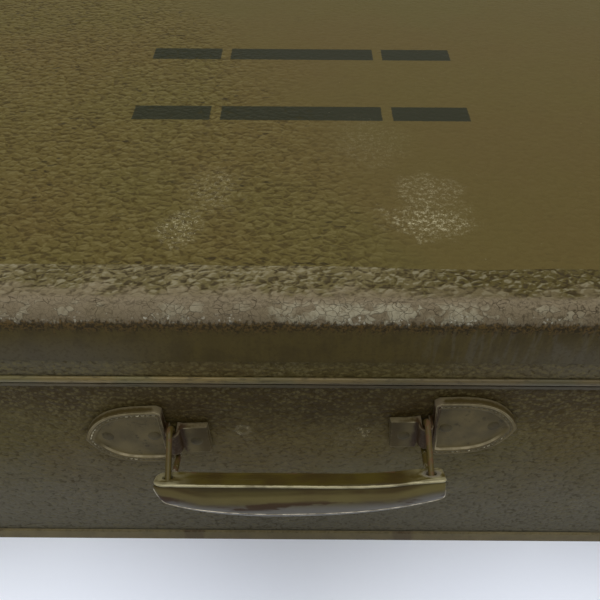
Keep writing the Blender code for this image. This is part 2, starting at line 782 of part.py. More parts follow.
def grip_depth(x, shallower):
    """Depth of the grip's belly under the plate at a place along it."""
    share = min(abs(x) / (GRIP_LENGTH / 2), 1.0)
    curve = (1 - share ** GRIP_SAG_POWER) ** GRIP_SAG_END_POWER
    depth = GRIP_END_DEPTH + (GRIP_MIDDLE_DEPTH - GRIP_END_DEPTH) * curve
    return depth - shallower


def belly_loops(half_length, half_width, shallower, top, end_round):
    """Sections along X: flat on top, a rounded belly below, drawn in at both ends."""
    loops = []
    for step in range(GRIP_SECTIONS + 1):
        angle = math.pi * step / GRIP_SECTIONS
        x = -half_length * math.cos(angle)
        from_end = half_length - abs(x)
        draw = 1.0
        if from_end < end_round:
            drawn_in = 1 - math.sqrt(1 - (1 - from_end / end_round) ** 2)
            draw = 1 - drawn_in * (1 - GRIP_END_SHARE)
        depth = grip_depth(x, shallower) * draw
        section = [Vector((x, half_width, top))]
        for turn in range(GRIP_SECTION_POINTS + 1):
            around = math.pi * turn / GRIP_SECTION_POINTS
            across = math.copysign(abs(math.cos(around)) ** GRIP_BELLY_POWER, math.cos(around))
            down = depth * max(math.sin(around), 0.0) ** GRIP_BELLY_POWER
            section.append(Vector((x, half_width * across, -down - CLEARANCE)))
        section.append(Vector((x, -half_width, top)))
        loops.append(section)
    return loops


def grip_body(material, grip_frame, leg_turn, leg_place):
    half_width = GRIP_WIDTH / 2 - GRIP_EDGE_INSET
    half_length = GRIP_LENGTH / 2 - GRIP_EDGE_INSET
    top = -CLEARANCE / 2
    outer = belly_loops(half_length, half_width, 0.0, top, GRIP_END_ROUND)
    made = piece("grip_body", outer, material, grip_frame)
    inner = belly_loops(
        half_length - GRIP_WALL, half_width - GRIP_WALL, GRIP_WALL, top + OVERRUN, GRIP_END_ROUND
    )
    cut(made, cutter("grip_body_hollow", inner, grip_frame))
    for side, sign in (("left", -1), ("right", 1)):
        x = sign * RING_SPACING / 2
        cut(made, grip_hole(f"grip_body_hole_{side}", x, leg_turn, leg_place, grip_frame))
    return made


def grip_seat():
    """The grip plate's middle, as (outward, up) in the rings' frame, and the plate's turn there."""
    turn = GRIP_PLATE_LEAN + RING_DROOP
    half = RING_BAR_LENGTH / 2
    hole_out = GRIP_HOLE_DISTANCE * math.cos(RING_TAPER)
    hole_up = half - GRIP_HOLE_DISTANCE * math.sin(RING_TAPER)
    seat = (hole_out + GRIP_HOLE_SETBACK * math.cos(turn), hole_up + GRIP_HOLE_SETBACK * math.sin(turn))
    return seat, turn


def handle():
    leather, steel = strap_leather(), painted_steel()
    leather_frame = front_frame("handle_place", 0.0, HANDLE_HEIGHT, HANDLE_TILT)
    bar_middle = (0.0, 0.0, BAR_FROM_WALL)
    swing_frame = frame_at("handle_swing_axis", bar_middle, (RING_DROOP, 0.0, 0.0), leather_frame)
    (seat_out, seat_up), turn = grip_seat()
    lean = (-math.pi / 2 - turn, 0.0, 0.0)
    grip_frame = frame_at("grip_place", (0.0, seat_up, seat_out), lean, swing_frame)
    for side, direction in (("left", -1), ("right", 1)):
        ring_x = direction * RING_SPACING / 2
        handle_shield(side, direction, ring_x, leather, leather_frame)
        handle_strap(side, direction, ring_x, leather, leather_frame)
        handle_rivets(side, direction, ring_x, leather, leather_frame)
        handle_ring(side, ring_x, steel, swing_frame)
    grip_plate(steel, grip_frame)
    leg_turn, leg_place = lower_leg_in_grip()
    grip_body(steel, grip_frame, leg_turn, leg_place)
    return leather_frame


def lower_leg_in_grip():
    """Where the rings' lower legs pass the back wall of the grip: their turn, and (y, z) in its frame."""
    (seat_out, seat_up), turn = grip_seat()
    corners = ring_corners()
    start, end = Vector(corners[0]), Vector(corners[1])
    back = Vector((-math.cos(turn), -math.sin(turn)))
    up = Vector((-math.sin(turn), math.cos(turn)))
    seat = Vector((seat_out, seat_up))
    along = end - start
    reach = (GRIP_WIDTH / 2 - (start - seat).dot(back)) / along.dot(back)
    crossing = start + along * reach - seat
    direction = along.normalized()
    leg_turn = math.atan2(-direction.dot(back), direction.dot(up))
    return leg_turn, (GRIP_WIDTH / 2, crossing.dot(up))


# Latches: local X runs away from the middle of the case on both sides
def latch_top():
    return SEAM_HEIGHT - BASE_RAIL_HEIGHT - LATCH_CASE_TOP_GAP


def latch_case(side, direction, material, latch_frame):
    top = latch_top()
    bottom = top - LATCH_CASE_HEIGHT
    half = LATCH_CASE_WIDTH / 2
    depth = CLEARANCE + LATCH_CASE_DEPTH
    outer = box((-half, half), (bottom, top), (CLEARANCE, depth))
    made = piece(f"latch_case_{side}", outer, material, latch_frame)
    flange_half = half + LATCH_FLANGE_WIDTH
    flange = box(
        (-flange_half, flange_half), (bottom + LATCH_FLANGE_WIDTH, top - LATCH_FLANGE_WIDTH),
        (CLEARANCE, CLEARANCE + LATCH_METAL),
    )
    add(made, cutter(f"latch_case_{side}_flange", flange, latch_frame))
    hollow = box(
        (-half + LATCH_METAL, half - LATCH_METAL), (bottom + LATCH_METAL, top - LATCH_METAL),
        (-OVERRUN, depth - LATCH_METAL),
    )
    slot_half = TONGUE_SLOT_WIDTH / 2
    slot_span = (top - TONGUE_SLOT_HEIGHT, top + OVERRUN)
    tongue_slot = box((-slot_half, slot_half), slot_span, (0.0, depth + OVERRUN))
    stem = BUTTON_STEM_RADIUS + CLEARANCE
    ends = sorted((direction * (BUTTON_PLACE - stem), direction * (BUTTON_PLACE + BOLT_TRAVEL + stem)))
    middle = top - BOLT_DROP
    button_slot = box(ends, (middle - stem, middle + stem), (0.0, depth + OVERRUN))
    shapes = (("hollow", hollow), ("tongue_slot", tongue_slot), ("button_slot", button_slot))
    for word, loops in shapes:
        cut(made, cutter(f"latch_case_{side}_{word}", loops, latch_frame))
    for end, sign in (("inner", -1), ("outer", 1)):
        x = sign * (half + LATCH_FLANGE_WIDTH / 2)
        name = f"latch_case_{side}_hole_{end}"
        cut(made, hole(name, x, middle, SMALL_SHANK_RADIUS, (0.0, depth), latch_frame))
    return made


def latch_rivets(side, material, latch_frame):
    x = LATCH_CASE_WIDTH / 2 + LATCH_FLANGE_WIDTH / 2
    y = latch_top() - BOLT_DROP
    seat = CLEARANCE + LATCH_METAL
    head = (SMALL_HEAD_RADIUS, SMALL_HEAD_HEIGHT, SMALL_SHANK_RADIUS)
    backing = ((-x - BACKING_MARGIN, x + BACKING_MARGIN), (y - BACKING_MARGIN, y + BACKING_MARGIN))
    places = [(-x, y, seat), (x, y, seat)]
    return rivet_set(f"latch_rivets_{side}", places, head, backing, material, latch_frame)


def bolt_levels():
    """The bolt's lowest and highest place out of the wall, in the middle of the case's hollow."""
    middle = (CLEARANCE + LATCH_CASE_DEPTH - LATCH_METAL) / 2
    return middle - BOLT_THICKNESS / 2, middle + BOLT_THICKNESS / 2


def bolt_span():
    start = TONGUE_WIDTH / 2 + CLEARANCE
    return start, start + BOLT_LENGTH


def latch_bolt(side, direction, material, latch_frame):
    start, end = bolt_span()
    middle = latch_top() - BOLT_DROP
    low, high = bolt_levels()
    loops = box(sorted((direction * start, direction * end)),
                (middle - BOLT_HEIGHT / 2, middle + BOLT_HEIGHT / 2), (low, high))
    made = piece(f"latch_bolt_{side}", loops, material, latch_frame)
    stem_end = CLEARANCE + LATCH_CASE_DEPTH + CLEARANCE / 2
    stem = turned([(BUTTON_STEM_RADIUS, (low + high) / 2), (BUTTON_STEM_RADIUS, stem_end)],
                  (direction * BUTTON_PLACE, middle))
    add(made, cutter(f"latch_bolt_{side}_stem", stem, latch_frame))
    return made


def latch_button(side, direction, material, latch_frame):
    middle = latch_top() - BOLT_DROP
    centre = direction * BUTTON_PLACE
    half_x, half_y = BUTTON_WIDTH / 2, BUTTON_HEIGHT / 2
    base = CLEARANCE + LATCH_CASE_DEPTH + 2 * CLEARANCE
    top = base + BUTTON_THICKNESS
    rows = ((0.0, base), (0.0, top - BUTTON_ROUND), (BUTTON_ROUND, top))
    loops = []
    for inset, level in rows:
        outline = rounded_box_outline(
            (centre - half_x + inset, centre + half_x - inset),
            (middle - half_y + inset, middle + half_y - inset), BUTTON_ROUND,
        )
        loops.append([Vector((x, y, level)) for x, y in outline])
    return piece(f"latch_button_{side}", loops, material, latch_frame)


def latch_spring(side, direction, material, latch_frame):
    """A helix behind the bolt's tail, as long as it is with the bolt drawn back."""
    _, tail = bolt_span()
    low, high = bolt_levels()
    middle = latch_top() - BOLT_DROP
    wire = bpy.data.curves.new(f"latch_spring_{side}", "CURVE")
    wire.dimensions = "3D"
    wire.bevel_depth = SPRING_WIRE_RADIUS
    wire.bevel_resolution = 1
    wire.use_fill_caps = True
    count = SPRING_TURNS * SPRING_STEPS_PER_TURN
    line = wire.splines.new("POLY")
    line.points.add(count)
    for i, point in enumerate(line.points):
        angle = 2 * math.pi * i / SPRING_STEPS_PER_TURN
        x = tail + CLEARANCE + SPRING_WIRE_RADIUS + SPRING_LENGTH * i / count
        y = middle + SPRING_RADIUS * math.cos(angle)
        z = (low + high) / 2 + SPRING_RADIUS * math.sin(angle)
        point.co = (direction * x, y, z, 1.0)
    return place(f"latch_spring_{side}", wire, latch_frame, material)


def hasp_axis_out():
    return CLEARANCE + LATCH_CASE_DEPTH + CLEARANCE + HASP_METAL - HASP_KNUCKLE_RADIUS


def hasp(side, material, hasp_frame):
    """Local origin on the pin: a plate that hangs down over the latch, with a tongue on its back."""
    outer = HASP_KNUCKLE_RADIUS
    inner = outer - HASP_METAL
    half = HASP_WIDTH / 2
    plate_top = -HASP_KNUCKLE_RADIUS - CLEARANCE
    lip = HASP_LIP
    outline = [
        (plate_top, inner), (plate_top, outer), (-HASP_LENGTH, outer), (-HASP_LENGTH - lip, outer + lip),
        (-HASP_LENGTH - lip - HASP_METAL / 2, outer + lip - HASP_METAL), (-HASP_LENGTH, inner),
    ]
    made = piece(f"hasp_{side}", extruded_along_x(outline, -half, half), material, hasp_frame)
    knuckle_half = HASP_KNUCKLE_WIDTH / 2
    low, high = thinned(inner, outer)
    neck = [(plate_top - HASP_METAL, low), (plate_top - HASP_METAL, high), (0.0, high), (0.0, low)]
    tongue_half = TONGUE_WIDTH / 2
    tongue_low = latch_top() - BOLT_DROP + TONGUE_RISE_IN_SLOT - HASP_AXIS_HEIGHT
    tongue = box((-tongue_half, tongue_half), (tongue_low, tongue_low + TONGUE_HEIGHT),
                 (inner - TONGUE_LENGTH, inner + HASP_METAL / 2))
    for word, loops in (
        ("knuckle", bar_along_x(-knuckle_half, knuckle_half, (0.0, 0.0), HASP_KNUCKLE_RADIUS)),
        ("neck", extruded_along_x(neck, -knuckle_half + NECK_INSET, knuckle_half - NECK_INSET)),
        ("tongue", tongue),
    ):
        add(made, cutter(f"hasp_{side}_{word}", loops, hasp_frame))
    cut(made, pin_bore(f"hasp_{side}_bore", HASP_PIN_RADIUS, HASP_WIDTH, hasp_frame))
    return made


def pin_bore(name, pin_radius, width, parent):
    radius = pin_radius + BORE_CLEARANCE
    return cutter(name, bar_along_x(-width, width, (0.0, 0.0), radius), parent)


def hasp_bracket(side, material, hasp_frame):
    """On the lid: a plate over the binding, with a knuckle at each side of the hasp's."""
    back = BINDING_OUT + CLEARANCE - hasp_axis_out()
    front = back + BRACKET_METAL
    half = BRACKET_WIDTH / 2
    foot = HASP_KNUCKLE_RADIUS + CLEARANCE
    plate = box((-half, half), (foot, BRACKET_HEIGHT), (back, front))
    made = piece(f"hasp_bracket_{side}", plate, material, hasp_frame)
    near = HASP_KNUCKLE_WIDTH / 2 + CLEARANCE
    far = near + BRACKET_KNUCKLE_WIDTH
    for end, sign in (("left", -1), ("right", 1)):
        start, stop = sorted((sign * near, sign * far))
        neck = box((start + NECK_INSET, stop - NECK_INSET), (0.0, foot + BRACKET_METAL), thinned(back, front))
        knuckle = bar_along_x(start, stop, (0.0, 0.0), HASP_KNUCKLE_RADIUS)
        add(made, cutter(f"hasp_bracket_{side}_neck_{end}", neck, hasp_frame))
        add(made, cutter(f"hasp_bracket_{side}_knuckle_{end}", knuckle, hasp_frame))
    cut(made, pin_bore(f"hasp_bracket_{side}_bore", HASP_PIN_RADIUS, BRACKET_WIDTH, hasp_frame))
    for number, x in enumerate((-BRACKET_RIVET_SPACING / 2, BRACKET_RIVET_SPACING / 2)):
        name = f"hasp_bracket_{side}_hole_{number}"
        cut(made, hole(name, x, bracket_rivet_rise(), SMALL_SHANK_RADIUS,
                       (back - OVERRUN, front + OVERRUN), hasp_frame))
    return made


def bracket_rivet_rise():
    return BRACKET_HEIGHT - BRACKET_RIVET_INSET


def hasp_rivets(side, material, latch_frame):
    y = HASP_AXIS_HEIGHT + bracket_rivet_rise()
    x = BRACKET_RIVET_SPACING / 2
    seat = BINDING_OUT + CLEARANCE + BRACKET_METAL
    head = (SMALL_HEAD_RADIUS, SMALL_HEAD_HEIGHT, SMALL_SHANK_RADIUS)
    backing = ((-x - BACKING_MARGIN, x + BACKING_MARGIN), (y - BACKING_MARGIN, y + BACKING_MARGIN))
    places = [(-x, y, seat), (x, y, seat)]
    return rivet_set(f"hasp_rivets_{side}", places, head, backing, material, latch_frame)


def headed_pin(name, radius, width, knuckle_radius, material, parent):
    """A pin along local X with a thin head at each end of the knuckles."""
    head_radius = knuckle_radius * PIN_HEAD_SHARE
    near = width / 2 + CLEARANCE
    far = near + radius
    loops = []
    for x, size in (
        (-far, head_radius), (-near, head_radius), (-near, radius),
        (near, radius), (near, head_radius), (far, head_radius),
    ):
        circle = arc((0.0, 0.0), size, 0.0, 2 * math.pi, KNUCKLE_SIDES)[:-1]
        loops.append([Vector((x, y, z)) for y, z in circle])
    return piece(name, loops, material, parent)


def latches(base, lid, binding):
    brass, steel = latch_steel(), bright_steel()
    for side, direction in (("left", -1), ("right", 1)):
        x = direction * LATCH_SPACING / 2
        latch_frame = front_frame(f"latch_place_{side}", x)
        axis = (0.0, HASP_AXIS_HEIGHT, hasp_axis_out())
        hasp_frame = frame_at(f"hasp_axis_{side}", axis, parent=latch_frame)
        latch_case(side, direction, brass, latch_frame)
        latch_rivets(side, brass, latch_frame)
        latch_bolt(side, direction, steel, latch_frame)
        latch_button(side, direction, brass, latch_frame)
        latch_spring(side, direction, steel, latch_frame)
        hasp(side, brass, hasp_frame)
        hasp_bracket(side, brass, hasp_frame)
        pin_width = HASP_KNUCKLE_WIDTH + 2 * (CLEARANCE + BRACKET_KNUCKLE_WIDTH)
        headed_pin(f"hasp_pin_{side}", HASP_PIN_RADIUS, pin_width, HASP_KNUCKLE_RADIUS, steel, hasp_frame)
        hasp_rivets(side, brass, latch_frame)
        latch_wall_holes(side, base, lid, binding, latch_frame)


def latch_wall_holes(side, base, lid, binding, latch_frame):
    """Holes for the latch case's rivets in the base's wall, and for the bracket's in the lid's."""
    case_x = LATCH_CASE_WIDTH / 2 + LATCH_FLANGE_WIDTH / 2
    case_y = latch_top() - BOLT_DROP
    bracket_x = BRACKET_RIVET_SPACING / 2
    bracket_y = HASP_AXIS_HEIGHT + bracket_rivet_rise()
    span = through_wall()
    for end, sign in (("inner", -1), ("outer", 1)):
        name = f"latch_wall_hole_{side}_{end}"
        cut(base, hole(name, sign * case_x, case_y, SMALL_SHANK_RADIUS, span, latch_frame))
        name = f"hasp_wall_hole_{side}_{end}"
        lid_hole = hole(name, sign * bracket_x, bracket_y, SMALL_SHANK_RADIUS, span, latch_frame)
        cut(lid, lid_hole)
        cut(binding, lid_hole)


# Hinges
def thinned(low, high):
    """The span of a neck that joins a plate of this span, a little inside both of its faces."""
    middle, half = (low + high) / 2, (high - low) / 2 * NECK_SHARE
    return middle - half, middle + half


def hinge_leaf(name, rise, length, knuckle_spans, material, hinge_frame):
    """A leaf on the wall that steps out over the rail to its knuckles.

    rise is 1 on the lid and -1 on the base.
    """
    wall = CLEARANCE - HINGE_AXIS_OUT
    step_out = -HINGE_KNUCKLE_RADIUS
    start, run = HINGE_JOGGLE_START, HINGE_JOGGLE_RUN
    metal = HINGE_METAL
    half = HINGE_WIDTH / 2
    plate = box((-half, half), sorted((rise * start, rise * length)), (wall, wall + metal))
    made = piece(name, plate, material, hinge_frame)
    low, high = thinned(wall, wall + metal)
    out_low, out_high = thinned(step_out, step_out + metal)
    joggle = [
        (rise * (start + run), low), (rise * (start + run), high), (rise * start, high),
        (rise * (start - run), out_high), (0.0, out_high), (0.0, out_low),
        (rise * (start - run), out_low), (rise * start, low),
    ]
    for number, (near, far) in enumerate(knuckle_spans):
        neck = extruded_along_x(joggle, near + NECK_INSET, far - NECK_INSET)
        add(made, cutter(f"{name}_joggle_{number}", neck, hinge_frame))
        knuckle = bar_along_x(near, far, (0.0, 0.0), HINGE_KNUCKLE_RADIUS)
        add(made, cutter(f"{name}_knuckle_{number}", knuckle, hinge_frame))
    cut(made, pin_bore(f"{name}_bore", HINGE_PIN_RADIUS, HINGE_WIDTH, hinge_frame))
    return made


def hinges(base, lid):
    brass, steel = latch_steel(), bright_steel()
    half, middle = HINGE_WIDTH / 2, HINGE_MIDDLE_WIDTH / 2
    x = HINGE_RIVET_SPACING / 2
    head = (SMALL_HEAD_RADIUS, SMALL_HEAD_HEIGHT, SMALL_SHANK_RADIUS)
    seat = CLEARANCE + HINGE_METAL
    span = (-WALL_THICKNESS - OVERRUN, seat + OVERRUN)
    for side, direction in (("left", -1), ("right", 1)):
        wall_frame = rear_frame(f"hinge_place_{side}", direction * HINGE_SPACING / 2, SEAM_HEIGHT)
        hinge_frame = frame_at(f"hinge_axis_{side}", (0.0, 0.0, HINGE_AXIS_OUT), parent=wall_frame)
        outer_spans = ((-half, -middle - CLEARANCE), (middle + CLEARANCE, half))
        inner_spans = ((-middle, middle),)
        name = f"hinge_leaf_base_{side}"
        base_leaf = hinge_leaf(name, -1, HINGE_BASE_LEAF, outer_spans, brass, hinge_frame)
        name = f"hinge_leaf_lid_{side}"
        lid_leaf = hinge_leaf(name, 1, HINGE_LID_LEAF, inner_spans, brass, hinge_frame)
        name = f"hinge_pin_{side}"
        headed_pin(name, HINGE_PIN_RADIUS, HINGE_WIDTH, HINGE_KNUCKLE_RADIUS, steel, hinge_frame)
        for word, leaf, wall, y in (
            ("base", base_leaf, base, -HINGE_BASE_RIVET_DROP), ("lid", lid_leaf, lid, HINGE_LID_RIVET_RISE),
        ):
            backing_half = min(BACKING_MARGIN, abs(y) - RAIL_INNER_HEIGHT - CLEARANCE)
            backing = ((-x - BACKING_MARGIN, x + BACKING_MARGIN), (y - backing_half, y + backing_half))
            places = [(-x, y, seat), (x, y, seat)]
            rivet_set(f"hinge_rivets_{word}_{side}", places, head, backing, brass, wall_frame)
            for end, sign in (("inner", -1), ("outer", 1)):
                name = f"hinge_hole_{word}_{side}_{end}"
                made = hole(name, sign * x, y, SMALL_SHANK_RADIUS, span, wall_frame)
                cut(leaf, made)
                cut(wall, made)


def handle_wall_holes(base, leather_frame):
    for side, direction in (("left", -1), ("right", 1)):
        for number, along in enumerate((-TAB_RIVET_PLACE, INNER_RIVET_PLACE, OUTER_RIVET_PLACE)):
            name = f"handle_wall_hole_{side}_{number}"
            x = direction * (RING_SPACING / 2 + along)
            cut(base, hole(name, x, 0.0, RIVET_SHANK_RADIUS, through_wall(), leather_frame))


def build():
    clear_scene()
    cloth, binding_cloth, rail = pebbled_cloth(), worn_binding(), rail_metal()
    lining, leather = lining_cloth(), strap_leather()
    base, lid = base_shell(cloth), lid_shell(cloth)
    binding = lid_edge_binding(binding_cloth)
    base_floor_binding(binding_cloth)
    lid_rail(rail)
    base_rail(rail)
    base_lining(lining)
    lid_lining(lining)
    lid_corner_caps(leather)
    base_corner_caps(leather)
    leather_frame = handle()
    handle_wall_holes(base, leather_frame)
    latches(base, lid, binding)
    hinges(base, lid)


build()
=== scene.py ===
"""Finish of a worn olive suitcase that lies shut on a pale floor.

Lengths are in metres. X runs along the width, the handle is at -Y, the hinges are at +Y, and Z is up.
"""

import json
import math

import bmesh
import bpy
from mathutils import Euler, Matrix, Vector, noise


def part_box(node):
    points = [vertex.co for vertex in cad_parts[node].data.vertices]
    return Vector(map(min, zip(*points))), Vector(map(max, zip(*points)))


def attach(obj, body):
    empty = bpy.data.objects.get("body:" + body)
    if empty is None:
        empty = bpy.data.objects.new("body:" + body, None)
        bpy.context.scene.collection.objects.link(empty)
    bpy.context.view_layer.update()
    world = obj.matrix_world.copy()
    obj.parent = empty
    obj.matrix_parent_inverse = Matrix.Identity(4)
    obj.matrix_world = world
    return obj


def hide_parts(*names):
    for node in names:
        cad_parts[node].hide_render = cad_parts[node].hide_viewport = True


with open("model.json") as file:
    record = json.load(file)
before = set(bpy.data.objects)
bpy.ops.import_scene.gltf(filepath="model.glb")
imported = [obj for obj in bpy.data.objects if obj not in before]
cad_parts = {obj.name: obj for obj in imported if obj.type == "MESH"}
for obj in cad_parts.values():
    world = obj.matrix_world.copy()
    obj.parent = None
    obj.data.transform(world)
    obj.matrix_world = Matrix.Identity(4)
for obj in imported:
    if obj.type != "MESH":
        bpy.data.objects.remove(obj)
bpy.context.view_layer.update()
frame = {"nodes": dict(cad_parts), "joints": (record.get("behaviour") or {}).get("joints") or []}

# Case, read from the frame
lid_low, lid_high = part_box("lid_shell")
HALF_WIDTH, HALF_DEPTH, CASE_HEIGHT = lid_high
SEAM_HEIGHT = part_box("lid_rail")[0].z - 0.00015
LID_EDGE = lid_low.z
BASE_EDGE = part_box("base_shell")[1].z
BINDING_LOWER_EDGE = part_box("lid_edge_binding")[0].z
FLOOR_BINDING_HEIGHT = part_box("base_floor_binding")[1].z

# Case, sizes shared with the frame
CLEARANCE = 0.0003
CORNER_RADIUS = 0.016
LEAST_CORNER_RADIUS = 0.002
WALL_THICKNESS = 0.005
TOP_EDGE_RADIUS = 0.0085
FLOOR_EDGE_RADIUS = 0.0025
BINDING_TOP_WIDTH = 0.029
BINDING_THICKNESS = 0.0009
CAP_THICKNESS = 0.0010
CAP_REACH = 0.040
RAIL_METAL = 0.0010
LID_RAIL_HEIGHT = 0.0038
LID_RAIL_PROUD = 0.0019
BASE_RAIL_HEIGHT = 0.0022
BASE_RAIL_PROUD = 0.0013
RAIL_INNER_HEIGHT = 0.008
TONGUE_RISE = 0.005
FLOOR_BINDING_THICKNESS = 0.0012

# Handle, sizes shared with the frame
SHIELD_LENGTH = 0.0395
SHIELD_HEIGHT = 0.0395
SHIELD_THICKNESS = 0.0043
SHIELD_DISH_DEPTH = 0.0013
SHIELD_CURVE_POWER = 4.0
SHIELD_POINT_POWER = 0.8
SHIELD_CURVE_STEPS = 34
SHIELD_END_STEPS = 14
STRAP_THICKNESS = 0.0018
STRAP_HEIGHT = 0.0200
BRIDGE_LEATHER = 0.0016
BRIDGE_HEIGHT = 0.0140
BRIDGE_HALF_GAP = 0.0018
TAB_LENGTH = 0.0128
TAB_DROP = 0.0035
TAB_THICKNESS = 0.0034
STRAP_TUCK = 0.0345
RIVET_PLACES = {"tab": (-0.0098, -0.0042), "inner": (0.0102, 0.0007), "outer": (0.0320, 0.0012)}
RIVET_HEAD_RADIUS = 0.0034
RING_SPACING = 0.1186
WIRE_RADIUS = 0.0014
RING_BAR_LENGTH = 0.0260
RING_REACH = 0.0268
RING_TAPER = math.radians(20)
RING_BEND_RADIUS = 0.0032
RING_OUTER_BEND_RADIUS = 0.0024
RING_DROOP = math.radians(10)
RING_RISE = math.radians(12)
RING_BACK_CLEARANCE = 0.0008
GRIP_LENGTH = 0.1300
GRIP_WIDTH = 0.0145
GRIP_PLATE_THICKNESS = 0.0012
GRIP_PLATE_LEAN = math.radians(33)
GRIP_HOLE_DISTANCE = 0.0246
GRIP_HOLE_SETBACK = 0.00125
GRIP_HOLE_RADIUS = 0.0026
GRIP_MIDDLE_DEPTH = 0.0174
GRIP_END_SHARE = {-1: 0.50, 1: 0.58}
GRIP_BELLY_INSET = 0.0005

# Sizes that only the finish has
SMOOTH_ANGLE = math.radians(40)
BEVEL_ANGLE = math.radians(32)
CAP_BEVEL = 0.00035
LATCH_BEVEL = 0.00025
HINGE_BEVEL = 0.00020
BINDING_THIN = 0.45
BINDING_COLUMNS = (170, 110)
STRAP_ROUNDING = 0.0006
SHIELD_SEAM = (0.0024, 0.0015)
SHIELD_SEAM_POINTS = 69
SHIELD_STITCHES = (0.0025, 0.0016, 0.00027)
CAP_STITCHES = (0.0026, 0.0016, 0.00028)
CAP_CENTRE_INSET = 0.0027
CAP_SPARE = 0.004
CAP_SIDE_SPARE = 0.006
CAP_SIDE_STEPS = 26
CAP_SEAM_INSET = 0.0026
RIVET_HEAD_PROFILE = (
    (0.3, 0.00056), (0.6, 0.00045), (0.8, 0.00030), (0.92, 0.00015), (0.98, 0.00004), (1.0, -0.0004),
)
LIP_WIRE_RADIUS = 0.00022
SEAM_WIRE_RADIUS = 0.00026
SIDES = (("left", -1), ("right", 1))

# Photograph's view, and the floor
PHOTO_WIDTH_PIXELS = 600
FOCAL_PIXELS = 720
SENSOR_WIDTH = 36.0
CAMERA_PLACE = (0.0, -0.4104, 0.383)
CAMERA_PITCH = math.radians(43.0)
CAMERA_ROLL = math.radians(0.4)
FLOOR_REACH = 3.0
FLOOR_CORNERS = ((-1, -1), (1, -1), (1, 1), (-1, 1))
FLOOR_FADE_START, FLOOR_FADE_END = 1.0, 2.4


def srgb(red, green, blue):
    """A colour as it looks on a screen, as the linear values that a shader takes."""
    def linear(level):
        return level / 12.92 if level <= 0.04045 else ((level + 0.055) / 1.055) ** 2.4
    return (linear(red), linear(green), linear(blue), 1.0)


# Shader maths
COAT_ROUGHNESS = 0.16


def arithmetic(operation, turned=False):
    """A method that adds a Math node for an operator, or for its reflected form."""
    def method(self, other):
        return self.nodes.maths(operation, *((other, self) if turned else (self, other)))
    return method


class Value:
    """A number that changes over a surface. Arithmetic on it adds Math nodes to its tree."""

    __add__, __radd__ = arithmetic("ADD"), arithmetic("ADD", True)
    __sub__, __rsub__ = arithmetic("SUBTRACT"), arithmetic("SUBTRACT", True)
    __mul__, __rmul__ = arithmetic("MULTIPLY"), arithmetic("MULTIPLY", True)
    __truediv__, __pow__ = arithmetic("DIVIDE"), arithmetic("POWER")
    least, most = arithmetic("MINIMUM"), arithmetic("MAXIMUM")

    def __init__(self, nodes, socket):
        self.nodes = nodes
        self.socket = socket

    def __abs__(self):
        return self.nodes.maths("ABSOLUTE", self)

    def rise(self, low, high):
        """0 below low and 1 above high, with a smooth rise between. A low above high makes it fall."""
        return self.nodes.value(
            "ShaderNodeMapRange", {"interpolation_type": "SMOOTHSTEP"},
            {"Value": self, "From Min": low, "From Max": high},
        )


class Nodes:
    """A node tree in the making."""

    def __init__(self, tree):
        self.tree = tree

    def feed(self, made, inputs):
        """Gives a node's sockets their values or links."""
        for name, given in inputs.items():
            if isinstance(given, Value):
                given = given.socket
            if isinstance(given, bpy.types.NodeSocket):
                self.tree.links.new(given, made.inputs[name])
            else:
                made.inputs[name].default_value = given

    def node(self, kind, settings=None, inputs=None):
        """Adds a node. Its settings are set first, then its sockets get their values or links."""
        made = self.tree.nodes.new(kind)
        for name, setting in (settings or {}).items():
            setattr(made, name, setting)
        self.feed(made, inputs or {})
        return made

    def value(self, kind, settings=None, inputs=None, output=0):
        return Value(self, self.node(kind, settings, inputs).outputs[output])

    def maths(self, operation, *numbers):
        return self.value("ShaderNodeMath", {"operation": operation}, dict(enumerate(numbers)))

    def vector(self, operation, *vectors):
        made = self.node("ShaderNodeVectorMath", {"operation": operation}, dict(enumerate(vectors)))
        return made.outputs[0]


